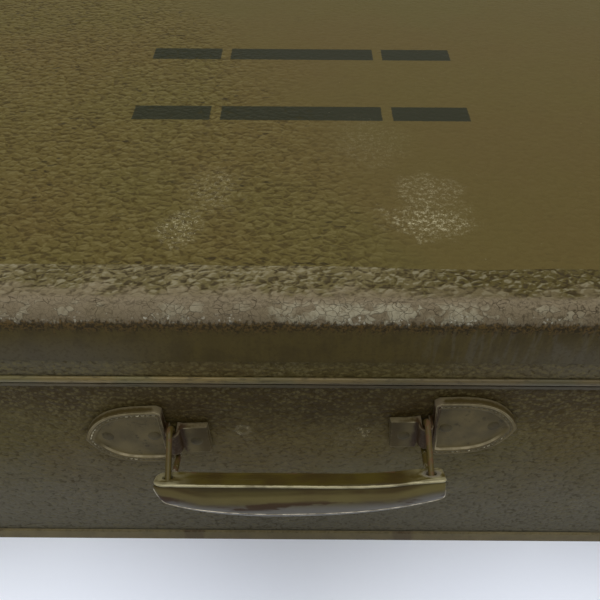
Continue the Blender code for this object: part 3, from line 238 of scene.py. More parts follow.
class Finish(Nodes):
    """A material in the making: its colour and relief so far, and the places on the object that it reads.

    In its methods a size is about how far apart the patches, bumps or lines are, and at is the place that is read.
    """

    def __init__(self, name):
        self.material = bpy.data.materials.new(name)
        self.material.use_nodes = True
        super().__init__(self.material.node_tree)
        self.shader = self.tree.nodes["Principled BSDF"]
        self.place = self.node("ShaderNodeTexCoord").outputs["Object"]
        parts = self.node("ShaderNodeSeparateXYZ", inputs={"Vector": self.place})
        self.x, self.y, self.z = (Value(self, parts.outputs[name]) for name in "XYZ")
        self.colour = None
        self.normal = None

    def along(self, direction, start):
        """How far the place lies from a start along a direction."""
        inputs = {0: self.place, 1: direction}
        made = self.value("ShaderNodeVectorMath", {"operation": "DOT_PRODUCT"}, inputs, "Value")
        return made - start.dot(direction)

    def stretched(self, along_x, along_y, along_z, at=None):
        """The place, drawn out or squeezed along each axis."""
        return self.vector("MULTIPLY", at or self.place, (along_x, along_y, along_z))

    def moved(self, by, at=None):
        """The place, moved by a step."""
        return self.vector("ADD", at or self.place, by)

    def wandered(self, reach, size, at=None):
        """The place, pushed about by noise of one size as far as a reach."""
        at = at or self.place
        cloud = self.node("ShaderNodeTexNoise", inputs={"Vector": at, "Scale": 1 / size, "Detail": 1.0})
        push = self.vector("SUBTRACT", cloud.outputs["Color"], (0.5, 0.5, 0.5))
        return self.vector("ADD", at, self.vector("MULTIPLY", push, (2 * reach,) * 3))

    def cloud(self, size, detail=2.0, roughness=0.5, at=None):
        """Noise from 0 to 1."""
        return self.value(
            "ShaderNodeTexNoise",
            inputs={"Vector": at or self.place, "Scale": 1 / size, "Detail": detail, "Roughness": roughness},
        )

    def sway(self, reach, *cloud):
        """Noise round 0 that is a reach from end to end. The rest is as for cloud."""
        return (self.cloud(*cloud) - 0.5) * reach

    def cells(self, size, at=None, output=0, **settings):
        """One output of a pattern of cells."""
        inputs = {"Vector": at or self.place, "Scale": 1 / size}
        return self.value("ShaderNodeTexVoronoi", settings, inputs, output)

    def creases(self, size, at=None):
        """0 on the lines between cells, growing towards the middle of each cell."""
        return self.cells(size, at, feature="DISTANCE_TO_EDGE")

    def domes(self, size, at=None):
        """Rounded bumps: 1 in the middle of each and near 0 where they meet."""
        far = self.cells(size, at, feature="SMOOTH_F1")
        self.feed(far.socket.node, {"Smoothness": 0.35})
        return 1 - far.rise(0.12, 0.74)

    def cell_number(self, size, at=None):
        """A random number from 0 to 1 for each cell."""
        colours = self.cells(size, at, "Color")
        return self.value("ShaderNodeSeparateColor", inputs={"Color": colours})

    def mix(self, share, first, second):
        """The first colour turned towards the second one by a share."""
        return self.node("ShaderNodeMix", {"data_type": "RGBA"}, {0: share, 6: first, 7: second}).outputs[2]

    def tint(self, share, colour):
        """Turns the colour so far towards another one by a share."""
        self.colour = self.mix(share, self.colour, colour)

    def raised(self, height, depth, strength=1.0):
        """Relief of a depth, added to what is there."""
        inputs = {"Height": height, "Distance": depth, "Strength": strength}
        if self.normal:
            inputs["Normal"] = self.normal
        self.normal = self.node("ShaderNodeBump", inputs=inputs).outputs["Normal"]

    def done(self, roughness, metallic=0.0, sheen_level=0.5, coat=0.0):
        """Joins all to the shader and returns the material."""
        inputs = {
            "Base Color": self.colour, "Roughness": roughness, "Metallic": metallic, "Coat Weight": coat,
            "Specular IOR Level": sheen_level, "Coat Roughness": COAT_ROUGHNESS,
        }
        if self.normal:
            inputs["Normal"] = self.normal
        self.feed(self.shader, inputs)
        return self.material


# Olive coated cloth
LID_PEBBLE = 0.0038
WALL_PEBBLE = 0.0028
OLIVE = srgb(0.300, 0.257, 0.122)
OLIVE_GREEN = srgb(0.292, 0.260, 0.124)
OLIVE_BROWN = srgb(0.300, 0.248, 0.124)
# The next two colours also serve as painted shade and painted light on the pebbles.
OLIVE_DEEP = srgb(0.200, 0.160, 0.068)
OLIVE_LIT = srgb(0.384, 0.345, 0.206)
# The next four colours are painted light: shade on the walls, a reflection of the pale floor, shade in pits and gaps,
# and shade round the handle's rings.
WALL_SHADED = srgb(0.205, 0.160, 0.054)
WALL_FLOOR_REFLECTION = srgb(0.360, 0.340, 0.280)
PIT = srgb(0.115, 0.090, 0.042)
SHADE_BROWN = srgb(0.205, 0.150, 0.062)
DUST = srgb(0.62, 0.585, 0.46)
STENCIL_PAINT = srgb(0.115, 0.120, 0.070)
# Scuffed patches on the lid: middle, reach along each axis, strength
SCUFFS = (
    (0.0600, -0.1370, 0.020, 0.014, 1.0),
    (0.0590, -0.1150, 0.012, 0.017, 0.62),
    (0.0690, -0.1140, 0.011, 0.015, 0.45),
    (-0.0560, -0.1440, 0.010, 0.013, 0.85),
    (-0.0430, -0.1120, 0.014, 0.022, 0.40),
    (0.0360, -0.0700, 0.020, 0.026, 0.18),
)
# Stencilled bars on the lid: left, right, near and far ends
BARS = (
    (-0.096, -0.052, 0.034, 0.050), (-0.046, 0.046, 0.034, 0.050), (0.052, 0.096, 0.034, 0.050),
    (-0.096, -0.052, -0.044, -0.028), (-0.046, 0.046, -0.044, -0.028), (0.052, 0.096, -0.044, -0.028),
)


def pebble_relief(finish, size, length, crisp, at=None):
    """Height of wavy pebbles, drawn out along X: 0 in the pits between them and 1 on top."""
    pushed = finish.wandered(size * 0.30, size * 1.5, finish.stretched(1 / length, 1.0, 1.0, at))
    waves = finish.cloud(size * 0.75, 1.0, 0.5, pushed).rise(0.28, 0.72)
    soft = finish.domes(size, pushed) * 0.50 + waves * 0.50
    return soft * (1 - crisp) + finish.creases(size, pushed).rise(0.0, 0.20) * crisp


def painted_light_sides(finish, pebbles, size, length, crisp, at=None):
    """How much each place lies on a pebble's far or upper side, and below 0 on its near or lower side: where painted
    light and painted shade go, as if lit from above and behind.
    """
    step = size * 0.12
    return pebbles - pebble_relief(finish, size, length, crisp, finish.moved((0.0, step, step), at))


def case_inset(finish):
    """How far each place lies from the case's nearest wall, seen from above."""
    return (HALF_WIDTH - abs(finish.x)).least(HALF_DEPTH - abs(finish.y))


def far_from_handle(finish):
    """1 towards both ends of the front and 0 above the handle, with a ragged border."""
    return (abs(finish.x - 0.010) + finish.sway(0.06, 0.03, 3.0)).rise(0.050, 0.110)


def patch(finish, x, y, reach_x, reach_y, ragged):
    """1 inside an oval patch seen from above, with a ragged edge."""
    across = (((finish.x - x) / reach_x) ** 2.0 + ((finish.y - y) / reach_y) ** 2.0) ** 0.5
    return (across + ragged).rise(1.35, 0.35)


def bar_mask(finish):
    """1 on the plain stencilled bars on the lid."""
    wobble = finish.sway(0.0009, 0.0016, 2.0)
    mask = None
    for left, right, near, far in BARS:
        inside = (finish.x - left).least(right - finish.x)
        inside = inside.least(finish.y - near).least(far - finish.y)
        bar = (inside + wobble).rise(-0.0003, 0.0003)
        mask = bar if mask is None else mask.most(bar)
    return mask * finish.z.rise(CASE_HEIGHT - 0.002, CASE_HEIGHT - 0.001)


def olive_cloth(name, on_lid):
    """Pebbled olive cloth of the lid's top, or of the walls, with painted light and shade on its pebbles."""
    finish = Finish(name)
    size, length, crisp = (LID_PEBBLE, 1.2, 0.16) if on_lid else (WALL_PEBBLE, 1.1, 0.06)
    # How strongly painted shade falls on the pebbles' near sides and painted light on their far sides.
    shade_share, light_share = (0.70, 0.46) if on_lid else (0.42, 0.34)
    relief, sheen_level = (0.00080, 0.04) if on_lid else (0.00045, 0.08)
    pebbles = pebble_relief(finish, size, length, crisp)
    lit = painted_light_sides(finish, pebbles, size, length, crisp)
    broad = finish.cloud(0.07, 3.0)
    if on_lid:
        smooth = (finish.x * 7.0 + finish.y * 3.0 + (broad - 0.5) * 0.9).rise(-0.55, 0.12)
    else:
        smooth = broad.rise(0.45, 0.75) * 0.4
    depth = 1 - smooth * 0.86
    fine = finish.cloud(0.0007, 3.0, 0.6)
    finish.colour = finish.mix(broad.rise(0.35, 0.65) * 0.6 + 0.4, OLIVE_BROWN, OLIVE)
    finish.tint(finish.cloud(0.11, 2.0).rise(0.45, 0.62) * 0.7, OLIVE_GREEN)
    if on_lid:
        finish.tint(finish.y.rise(0.05, 0.15) * 0.6, OLIVE_GREEN)
    else:
        wall_light_and_shade(finish)
    # Painted shade on the pebbles' near sides and painted light on their far sides, as if lit from above and behind.
    finish.tint((0 - lit).rise(0.00, 0.22) * depth * shade_share, OLIVE_DEEP)
    finish.tint(lit.rise(0.05, 0.24) * depth * light_share, OLIVE_LIT)
    pits = pebbles.rise(0.24, 0.06) * depth
    # Painted shade in the pits between the pebbles.
    finish.tint(pits * 0.40, OLIVE_DEEP)
    if on_lid:
        finish.tint(smooth * 0.13 + 0.07, OLIVE_DEEP)
    finish.tint(fine.rise(0.45, 0.9) * 0.05, DUST)
    inset = case_inset(finish)
    if on_lid:
        beside = (inset + (broad - 0.5) * 0.02).rise(BINDING_TOP_WIDTH + 0.010, BINDING_TOP_WIDTH)
        spots = finish.cloud(0.0030, 1.5, 0.5, finish.stretched(0.50, 1.0, 1.0))
        deep_pits = spots.rise(0.60, 0.66) * finish.cloud(0.03).rise(0.52, 0.64).most(beside) * depth
    else:
        deep_pits = finish.cloud(0.0024, 1.5).rise(0.72, 0.78) * 0.25
    # Dark spots, painted as shade in the deepest pits; on the lid they gather in patches and beside the binding.
    finish.tint(deep_pits * 0.75, PIT)
    if on_lid:
        lid_marks(finish, inset, pits, fine)
    else:
        finish.tint(wall_scuffs(finish), DUST)
    finish.raised(finish.cloud(0.03, 2.0), 0.0010, 0.5)
    finish.raised(pebbles * depth, relief)
    finish.raised(fine, 0.00012, 0.5)
    roughness = 0.56 + pits * 0.2 + fine * 0.1 - smooth * 0.06
    return finish.done(roughness, sheen_level=sheen_level)


def wall_light_and_shade(finish):
    """Paints light and shade on the walls: shade under the rail and on the lid's wall, greyer lower walls and greyer
    ends of the lid's wall as a painted reflection of the pale floor, highlights on pebbles of the upper base wall, and
    shade on the front one round the handle's rings.
    """
    mottled = finish.sway(0.05, 0.02, 3.0, 0.6)
    under_rail = (finish.z + mottled).rise(SEAM_HEIGHT - 0.042, SEAM_HEIGHT - 0.008)
    under_rail = under_rail * finish.z.rise(SEAM_HEIGHT + 0.001, SEAM_HEIGHT - 0.001)
    above_rail = finish.z.rise(SEAM_HEIGHT - 0.001, SEAM_HEIGHT + 0.001)
    # Painted shade on the lid's wall, with greyer ends as a painted reflection of the pale floor.
    finish.tint(above_rail * 0.32, WALL_SHADED)
    finish.tint(above_rail * far_from_handle(finish) * 0.45, WALL_FLOOR_REFLECTION)
    # Painted shadow under the rail, and a greyer lower part as a painted reflection of the pale floor.
    finish.tint(under_rail * 0.95, WALL_SHADED)
    finish.tint((finish.z + mottled).rise(0.104, 0.022) * 0.95, WALL_FLOOR_REFLECTION)
    # Painted highlights on the pebbles of the upper base wall.
    lit_dots = finish.cell_number(0.0021).rise(0.18, 0.50) * finish.domes(0.0021).rise(0.20, 0.8)
    lit_dots_zone = (finish.z + mottled * 1.5).rise(SEAM_HEIGHT - 0.052, SEAM_HEIGHT - 0.022)
    finish.tint(lit_dots * lit_dots_zone * 0.42, OLIVE_LIT)
    # Painted shade round the handle's rings.
    beside_ring = (abs(abs(finish.x) - RING_SPACING / 2 + 0.004) / 0.020) ** 2.0
    round_ring = (beside_ring + ((finish.z - 0.116) / 0.011) ** 2.0) ** 0.5
    on_front = finish.y.rise(-HALF_DEPTH + 0.004, -HALF_DEPTH + 0.001)
    ring_shade = (round_ring + finish.sway(1.2, 0.005, 3.0, 0.6)).rise(1.3, 0.4) * on_front
    finish.tint(ring_shade * 0.55, SHADE_BROWN)


def lid_marks(finish, inset, pits, fine):
    """The lid's painted shadow line in the gap by the binding, its stencilled bars and its scuffs."""
    gap = inset.rise(BINDING_TOP_WIDTH - 0.0003, BINDING_TOP_WIDTH - 0.0007) * (0 - finish.y).rise(0.0, 0.01)
    gap = gap * finish.x.rise(0.012, 0.015) * finish.x.rise(0.037, 0.034)
    # A thin painted shadow in the gap along the binding's inner edge.
    finish.tint(gap, PIT)
    paint = bar_mask(finish) * (0.95 - fine.rise(0.6, 0.8) * 0.25 - pits * 0.2)
    finish.tint(paint, STENCIL_PAINT)
    finish.tint(lid_scuffs(finish, fine), DUST)


def fibres(finish, size):
    """Thin curly lines about one size apart, broken into short lengths."""
    curled = finish.wandered(size * 0.8, size * 1.5)
    first = abs(finish.cloud(size * 1.5, 2.0, 0.6, curled) - 0.5).rise(0.030, 0.006)
    second = abs(finish.cloud(size * 1.9, 2.0, 0.6, finish.moved((0.3, 0.1, 0.2), curled)) - 0.5).rise(0.026, 0.005)
    broken = finish.cloud(size * 2.2, 3.0, 0.65).rise(0.48, 0.60)
    return first.most(second) * broken


def lid_scuffs(finish, fine):
    """How much pale dust shows on the lid: as fibres and flecks in a few scuffed patches."""
    ragged = finish.sway(2.0, 0.008, 3.0, 0.65)
    scuffed = None
    for x, y, reach_x, reach_y, strength in SCUFFS:
        spot = patch(finish, x, y, reach_x, reach_y, ragged) * strength
        scuffed = spot if scuffed is None else scuffed.most(spot)
    lone = finish.cloud(0.0016, 1.0).rise(0.80, 0.84) * 0.5
    marks = fibres(finish, 0.0010) * 0.95 + fine.rise(0.45, 0.75) * 0.22
    return (scuffed * marks).most(lone * fine)


def wall_scuffs(finish):
    """A few pale marks on the front wall: a rubbed ring, short scratches and a spot."""
    front = finish.y.rise(-HALF_DEPTH + 0.004, -HALF_DEPTH + 0.002)
    ragged = finish.cloud(0.0025, 3.0, 0.65) - 0.5
    from_ring = ((finish.x + 0.0270) ** 2.0 + (finish.z - 0.1010) ** 2.0) ** 0.5 + ragged * 0.003
    ring = from_ring.rise(0.0014, 0.0026) * from_ring.rise(0.0046, 0.0032) * (fibres(finish, 0.0012) * 0.5 + 0.12)
    in_patch = (finish.x - 0.0320).rise(-0.0060, -0.0020) * (finish.x - 0.0320).rise(0.0060, 0.0020)
    in_patch = in_patch * finish.z.rise(0.094, 0.098) * finish.z.rise(0.108, 0.104)
    scratches = fibres(finish, 0.0016) * in_patch * 0.5
    from_spot = ((finish.x - 0.0920) ** 2.0 + (finish.z - 0.0885) ** 2.0) ** 0.5 + ragged * 0.0020
    spot = from_spot.rise(0.0014, 0.0006) * 0.6
    dusty = fibres(finish, 0.0012) * finish.cloud(0.03, 3.0, 0.6).rise(0.56, 0.70) * 0.16
    return (ring.most(scratches).most(spot) * front).most(dusty)


# Worn binding
# Size, length and crispness of the pebbles
BINDING_GRAIN = (0.0035, 1.25, 0.15)
BINDING_SLANT = math.radians(-14)
BINDING_RELIEF = 0.00110
FLAKE = 0.0026
SMALL_FLAKE = 0.0020
BINDING_DUSTY = srgb(0.346, 0.308, 0.196)
BINDING_GREEN = srgb(0.304, 0.268, 0.148)
BINDING_OLIVE = srgb(0.250, 0.214, 0.085)
BINDING_RUBBED = srgb(0.402, 0.355, 0.274)
BINDING_FLAKE_AND_LIGHT = srgb(0.520, 0.490, 0.400)
BINDING_SPARK = srgb(0.660, 0.640, 0.560)
BINDING_DARK = srgb(0.155, 0.120, 0.052)
FRINGE_BROWN = srgb(0.305, 0.232, 0.100)
FRINGE_SHADE = srgb(0.140, 0.108, 0.036)
FLAP_OLIVE = srgb(0.268, 0.225, 0.090)
FLAP_DEEP = srgb(0.195, 0.158, 0.055)
FLAP_GREY = srgb(0.300, 0.275, 0.215)


def binding_flap(finish, down):
    """The colour of the binding's flap on the wall, greyer lower down and at its ends as a painted reflection of the
    pale floor, and the streaks along its height.
    """
    streaks = finish.cloud(0.0022, 2.0, 0.5, finish.stretched(1.0, 1.0, 0.12))
    flap = finish.mix(streaks.rise(0.35, 0.7) * (0.25 + finish.x.rise(0.04, 0.09) * 0.3), FLAP_OLIVE, FLAP_DEEP)
    flap = finish.mix(finish.cloud(0.012, 3.0, 0.6).rise(0.45, 0.65) * 0.45, flap, FLAP_DEEP)
    # Greyer lower down and towards the ends: a painted reflection of the pale floor.
    flap = finish.mix(far_from_handle(finish) * down.rise(0.010, 0.026) * 0.60, flap, FLAP_GREY)
    ripples = finish.cloud(0.0030, 1.5, 0.5, finish.wandered(0.002, 0.008, finish.stretched(1.0, 1.0, 0.16)))
    flap = finish.mix(ripples.rise(0.50, 0.62) * finish.x.rise(0.035, 0.075) * 0.40, flap, FLAP_GREY)
    mottles = finish.cloud(0.0016, 2.0).rise(0.50, 0.66)
    flap = finish.mix(mottles * 0.30, flap, FLAP_DEEP)
    return flap, streaks


def worn_binding():
    """Pebbled cloth on the lid's top with painted light and shade on its pebbles, a cracked and flaking ridge along its
    edge with painted glints, a frayed fringe that is partly painted shade, and a dull flap greyed lower down and at its
    ends as a painted reflection of the pale floor.
    """
    finish = Finish("worn_binding")
    inset = case_inset(finish)
    down = CASE_HEIGHT - finish.z
    ragged = finish.sway(0.0050, 0.0030, 4.0, 0.65)
    along = (inset.most(0.0) - down.most(0.0)) + ragged
    ridge = along.rise(0.0100, 0.0060) * along.rise(-0.0068, -0.0058)
    on_top = along.rise(0.001, 0.007)
    on_flap = along.rise(-0.0055, -0.0085)

    slanted = finish.node(
        "ShaderNodeVectorRotate", {"rotation_type": "Z_AXIS"}, {"Vector": finish.place, "Angle": BINDING_SLANT}
    ).outputs[0]
    pebbles = pebble_relief(finish, *BINDING_GRAIN, slanted)
    lit = painted_light_sides(finish, pebbles, *BINDING_GRAIN, slanted)
    fine = finish.cloud(0.0006, 3.0, 0.65)
    pits = pebbles.rise(0.30, 0.08) * on_top
    finish.colour = finish.mix(finish.cloud(0.03, 2.0).rise(0.4, 0.6), BINDING_DUSTY, BINDING_GREEN)
    to_right = (finish.x + finish.sway(0.05, 0.03, 2.0)).rise(0.020, 0.070)
    finish.tint(to_right, BINDING_OLIVE)
    near_ridge = inset.rise(0.022, 0.009)
    rubbed = (finish.cloud(0.018, 3.0, 0.6) + near_ridge * 0.26 - 0.10).rise(0.52, 0.68)
    finish.tint(rubbed * 0.62 * (1 - to_right * 0.45), BINDING_RUBBED)
    soft = 1 - rubbed * near_ridge * 0.5
    # Painted shade on the pebbles' near sides, painted light on their far sides, and painted shade in their pits.
    finish.tint((0 - lit).rise(0.00, 0.22) * on_top * soft * 0.78, BINDING_DARK)
    finish.tint(lit.rise(0.05, 0.26) * on_top * soft * 0.38, BINDING_FLAKE_AND_LIGHT)
    finish.tint(pits * 0.55, BINDING_DARK)

    flap, streaks = binding_flap(finish, down)
    finish.tint(on_flap, flap)

    broken = finish.wandered(0.0022, 0.0040, finish.stretched(0.75, 1.0, 1.0))
    cracks = finish.creases(FLAKE, broken)
    small_cracks = finish.creases(SMALL_FLAKE, broken)
    shown = finish.cloud(0.008, 2.0).rise(0.54, 0.66)
    middle = finish.x.rise(-0.016, 0.008) * finish.x.rise(0.078, 0.056)
    zone = finish.cloud(0.020, 2.0) + middle * 0.22
    picked = (finish.cell_number(FLAKE, broken) * 0.35 + zone).rise(0.76, 0.86)
    patchy = finish.cloud(0.0022, 3.0, 0.65).rise(0.36, 0.52)
    whitened = ridge * picked * along.rise(0.0060, 0.0030) * (0.55 + middle * 0.40) * (0.45 + patchy * 0.55)
    finish.tint(ridge * 0.80, BINDING_RUBBED)
    finish.tint(whitened * (0.7 + fine * 0.4), BINDING_FLAKE_AND_LIGHT)
    shown = shown.most(picked * 0.8)
    finish.tint(ridge * cracks.rise(0.050, 0.010) * shown * 0.65, BINDING_DARK)
    finish.tint(ridge * small_cracks.rise(0.07, 0.0) * (1 - shown) * 0.40, BINDING_DARK)
    upright = finish.cloud(0.0013, 2.0, 0.5, finish.stretched(1.0, 1.0, 0.2))
    at_right = finish.x.rise(0.065, 0.085)
    finish.tint(ridge * upright.rise(0.54, 0.68) * (0.22 + at_right * 0.30), BINDING_DARK)
    # Painted glints along the ridge's lower border.
    spark = finish.cell_number(0.0007).rise(0.88, 0.95) * along.rise(0.0000, -0.0038)
    finish.tint(spark * ridge * finish.cloud(0.010).rise(0.50, 0.62) * 0.6, BINDING_SPARK)
    # A ragged dark band where the edge turns down: frayed threads, and painted shade below the lit ridge.
    frayed = along + (upright - 0.5) * 0.0065
    fringe = frayed.rise(-0.0044, -0.0064) * (along + (upright - 0.5) * 0.010).rise(-0.0125, -0.0075)
    threads = finish.cloud(0.0013, 3.0, 0.65).rise(0.44, 0.60)
    finish.tint(fringe * 0.85, finish.mix(threads, FRINGE_SHADE, FRINGE_BROWN))

    finish.raised(finish.cloud(0.02, 2.0), 0.0008, 0.5)
    finish.raised(pebbles * on_top * (1 - rubbed * 0.4), BINDING_RELIEF)
    finish.raised(cracks.rise(0.0, 0.08) * shown * ridge + picked * ridge * 0.5, 0.00025, 0.8)
    finish.raised(streaks * on_flap, 0.0002, 0.5)
    finish.raised(fine, 0.00014, 0.5)
    roughness = 0.58 + pits * 0.2 - ridge * 0.06 + fine * 0.1
    return finish.done(roughness, sheen_level=0.08)


# Metals and leathers
RAIL_TAN = srgb(0.42, 0.355, 0.190)
RAIL_GREEN = srgb(0.36, 0.325, 0.18)
RAIL_DARK = srgb(0.18, 0.155, 0.095)


def rail_finish():
    finish = Finish("rail_paint")
    along = finish.stretched(1.0, 1.0, 6.0)
    finish.colour = finish.mix(finish.cloud(0.035, 2.0).rise(0.4, 0.6), RAIL_TAN, RAIL_GREEN)
    drawn = finish.cloud(0.004, 3.0, 0.6, finish.stretched(0.1, 0.1, 12.0))
    finish.tint(drawn.rise(0.4, 0.8) * 0.4, RAIL_DARK)
    grime = finish.cloud(0.005, 3.0, 0.6, along).rise(0.52, 0.68)
    finish.tint(grime * 0.45, RAIL_DARK)
    finish.tint(finish.x.rise(-0.09, 0.08) * 0.55, RAIL_DARK)
    # Painted shadow on the base's rail, under the lid's bead.
    on_base = finish.z.rise(SEAM_HEIGHT + 0.0002, SEAM_HEIGHT - 0.0002)
    finish.tint(on_base * 0.65, RAIL_DARK)
    finish.raised(drawn, 0.00010, 0.5)
    finish.raised(finish.cloud(0.002, 2.0), 0.00012, 0.4)
    return finish.done(0.42 + grime * 0.25 + on_base * 0.2, 0.20, sheen_level=0.30)


LEATHER_OLIVE = srgb(0.358, 0.314, 0.198)
LEATHER_BRIGHT = srgb(0.60, 0.55, 0.43)
LEATHER_BROWN = srgb(0.225, 0.180, 0.070)
RIVET_OLIVE = srgb(0.290, 0.254, 0.158)
CAP_BROWN = srgb(0.345, 0.300, 0.190)
LEATHER_DARK = srgb(0.145, 0.120, 0.070)


def handle_leather(name="painted_leather", base=LEATHER_OLIVE, rubbed=0.25):
    """Painted leather. A value that its mesh holds at each point says where it is pale (1): worn paint, and painted
    highlights on edges and steps that face up; and where it is brown (-1): its brown sides, and painted shade at the
    tabs' tips.
    """
    finish = Finish(name)
    wear_and_light = finish.value("ShaderNodeAttribute", {"attribute_name": "wear_and_light"}, output=2)
    broad = finish.cloud(0.012, 3.0)
    fine = finish.cloud(0.0006, 3.0, 0.65)
    finish.colour = finish.mix(broad.rise(0.35, 0.7) * 0.45, base, LEATHER_DARK)
    grime = finish.cloud(0.004, 3.0, 0.6).rise(0.58, 0.72)
    finish.tint(grime * 0.5, LEATHER_DARK)
    edge_wear = worn_edges(finish) * rubbed
    patchy = finish.cloud(0.005, 3.0, 0.6)
    # Brown below 0: the leather's brown sides, and painted shade at the tabs' tips.
    finish.tint((0 - wear_and_light).rise(0.1, 0.8) * 0.85, LEATHER_BROWN)
    from_ring = abs(abs(finish.x) - RING_SPACING / 2) + (patchy - 0.5) * 0.004
    at_ring = from_ring.rise(0.0066, 0.0042) * finish.y.rise(-HALF_DEPTH + 0.004, -HALF_DEPTH + 0.002)
    finish.tint(at_ring * 0.90, DARK_RUST_AND_SHADE)
    finish.tint(edge_wear, LEATHER_BRIGHT)
    # Pale above 0: worn paint, and painted highlights on edges and steps that face up.
    finish.tint(wear_and_light.rise(0.1, 0.9) * (0.45 + patchy.rise(0.35, 0.65) * 0.45), LEATHER_BRIGHT)
    finish.tint(fine.rise(0.5, 0.9) * 0.08, DUST)
    finish.raised(finish.cloud(0.0025, 2.0), 0.00020, 0.4)
    finish.raised(fine, 0.00008, 0.4)
    return finish.done(0.46 + fine * 0.12 - edge_wear * 0.06, sheen_level=0.07)


def worn_edges(finish):
    """1 on edges that stick out, where paint wears off, with a ragged border."""
    point = finish.value("ShaderNodeNewGeometry", output="Pointiness")
    ragged = finish.sway(0.06, 0.0018, 3.0, 0.6)
    return (point + ragged).rise(0.515, 0.55)


GRIP_OLIVE = srgb(0.268, 0.228, 0.078)
GRIP_BROWN = srgb(0.215, 0.170, 0.068)
GRIP_PALE = srgb(0.60, 0.565, 0.43)
BELLY_REFLECTION_TAN = srgb(0.40, 0.36, 0.21)
BELLY_FLOOR_REFLECTION = srgb(0.290, 0.272, 0.235)
BELLY_SHADE = srgb(0.130, 0.102, 0.036)
BELLY_OLIVE = srgb(0.262, 0.228, 0.108)
BARE_METAL_AND_GLINT = srgb(0.66, 0.62, 0.53)
RUST = srgb(0.325, 0.230, 0.150)
DARK_RUST_AND_SHADE = srgb(0.190, 0.125, 0.062)


def grip_enamel(grip):
    """Olive enamel on the grip's top, worn pale along its front edge and at its ends."""
    finish = Finish("grip_enamel")
    across = finish.along(grip.to_3x3() @ Vector((0, 1, 0)), grip.translation)
    fine = finish.cloud(0.0005, 3.0, 0.6)
    ragged = finish.sway(0.0016, 0.0022, 4.0, 0.65)
    ends = abs(finish.x).rise(0.045, 0.062)
    worn = (across + ragged * 1.2 - ends * 0.0030).rise(-0.0063, -0.0070)
    from_holes = ((abs(finish.x) - RING_SPACING / 2) ** 2.0 + (across - GRIP_HOLE_SETBACK) ** 2.0) ** 0.5
    bare = (from_holes + ragged).rise(0.0046, 0.0034) * finish.x.rise(-0.065, 0.05)
    finish.colour = finish.mix(finish.cloud(0.02, 3.0).rise(0.4, 0.65), GRIP_OLIVE, GRIP_BROWN)
    pale_end = ends * finish.cloud(0.006, 3.0, 0.6).rise(0.40, 0.60)
    finish.tint(pale_end * 0.45, GRIP_PALE)
    finish.tint(worn * (0.22 + finish.cloud(0.008, 3.0).rise(0.35, 0.6) * 0.52), GRIP_PALE)
    finish.tint(bare * 0.8, BARE_METAL_AND_GLINT)
    chips = (across + ragged * 2.0).rise(0.0058, 0.0066) * finish.cloud(0.005, 2.0).rise(0.60, 0.64)
    finish.tint(chips * 0.85, RUST)
    finish.raised(finish.cloud(0.003, 2.0), 0.00010, 0.4)
    finish.raised(fine, 0.00004, 0.4)
    return finish.done(0.34 + fine * 0.12, bare * 0.7 + worn * 0.15, sheen_level=0.3)


def belly_enamel(grip):
    """Glossy enamel under the grip, with brown rubbed stretches, a dark upper band of painted shade under the plate, a
    tan band of painted reflection, and a lower part greyed as a painted reflection of the pale floor.
    """
    finish = Finish("belly_enamel")
    below = finish.along(grip.to_3x3() @ Vector((0, 0, -1)), grip.translation)
    drawn = finish.stretched(0.25, 1.0, 1.0)
    ends = abs(finish.x).rise(0.040, 0.063)
    wavy = below + finish.sway(0.003, 0.012, 3.0, 0.6, drawn) + ends * 0.0045
    finish.colour = finish.mix(finish.cloud(0.006, 3.0, 0.6, drawn).rise(0.4, 0.65), BELLY_OLIVE, GRIP_BROWN)
    # Painted shade in the upper band, under the plate.
    finish.tint(wavy.rise(0.0042, 0.0024) * 0.50, BELLY_SHADE)
    # A tan band in the middle: a painted reflection.
    band = wavy.rise(0.0048, 0.0068) * wavy.rise(0.0105, 0.0085)
    finish.tint(band * 0.42, BELLY_REFLECTION_TAN)
    # The lower part greyed: a painted reflection of the pale floor.
    finish.tint(wavy.rise(0.0092, 0.0130) * 0.62, BELLY_FLOOR_REFLECTION)
    rubbed = finish.cloud(0.009, 4.0, 0.6, drawn).rise(0.49, 0.56) * wavy.rise(0.0082, 0.0098)
    rubbed = rubbed * wavy.rise(0.0135, 0.0120)
    finish.tint(rubbed * 0.85, DARK_RUST_AND_SHADE)
    finish.raised(finish.cloud(0.004, 2.0, 0.5, drawn), 0.00018, 0.5)
    finish.raised(finish.cloud(0.0006, 2.0), 0.00003, 0.3)
    glossy = wavy.rise(0.0085, 0.0125) * (1 - rubbed) * 0.55
    return finish.done(0.30 + rubbed * 0.25, 0.0, sheen_level=0.12, coat=glossy)


def grip_wire_finish(name, colour, metallic=0.55):
    """Metal along an edge, rubbed bright in places and dull in others: the grip's lip, whose paleness is partly a
    painted highlight, and a dark line in its seam, which is painted shade in the groove.
    """
    finish = Finish(name)
    dull = finish.cloud(0.006, 3.0, 0.6).rise(0.42, 0.62)
    finish.colour = finish.mix(dull * 0.6, colour, GRIP_BROWN)
    finish.raised(finish.cloud(0.0008, 2.0), 0.00003, 0.4)
    return finish.done(0.34 + dull * 0.3, metallic)


WIRE_OLIVE = srgb(0.275, 0.232, 0.092)


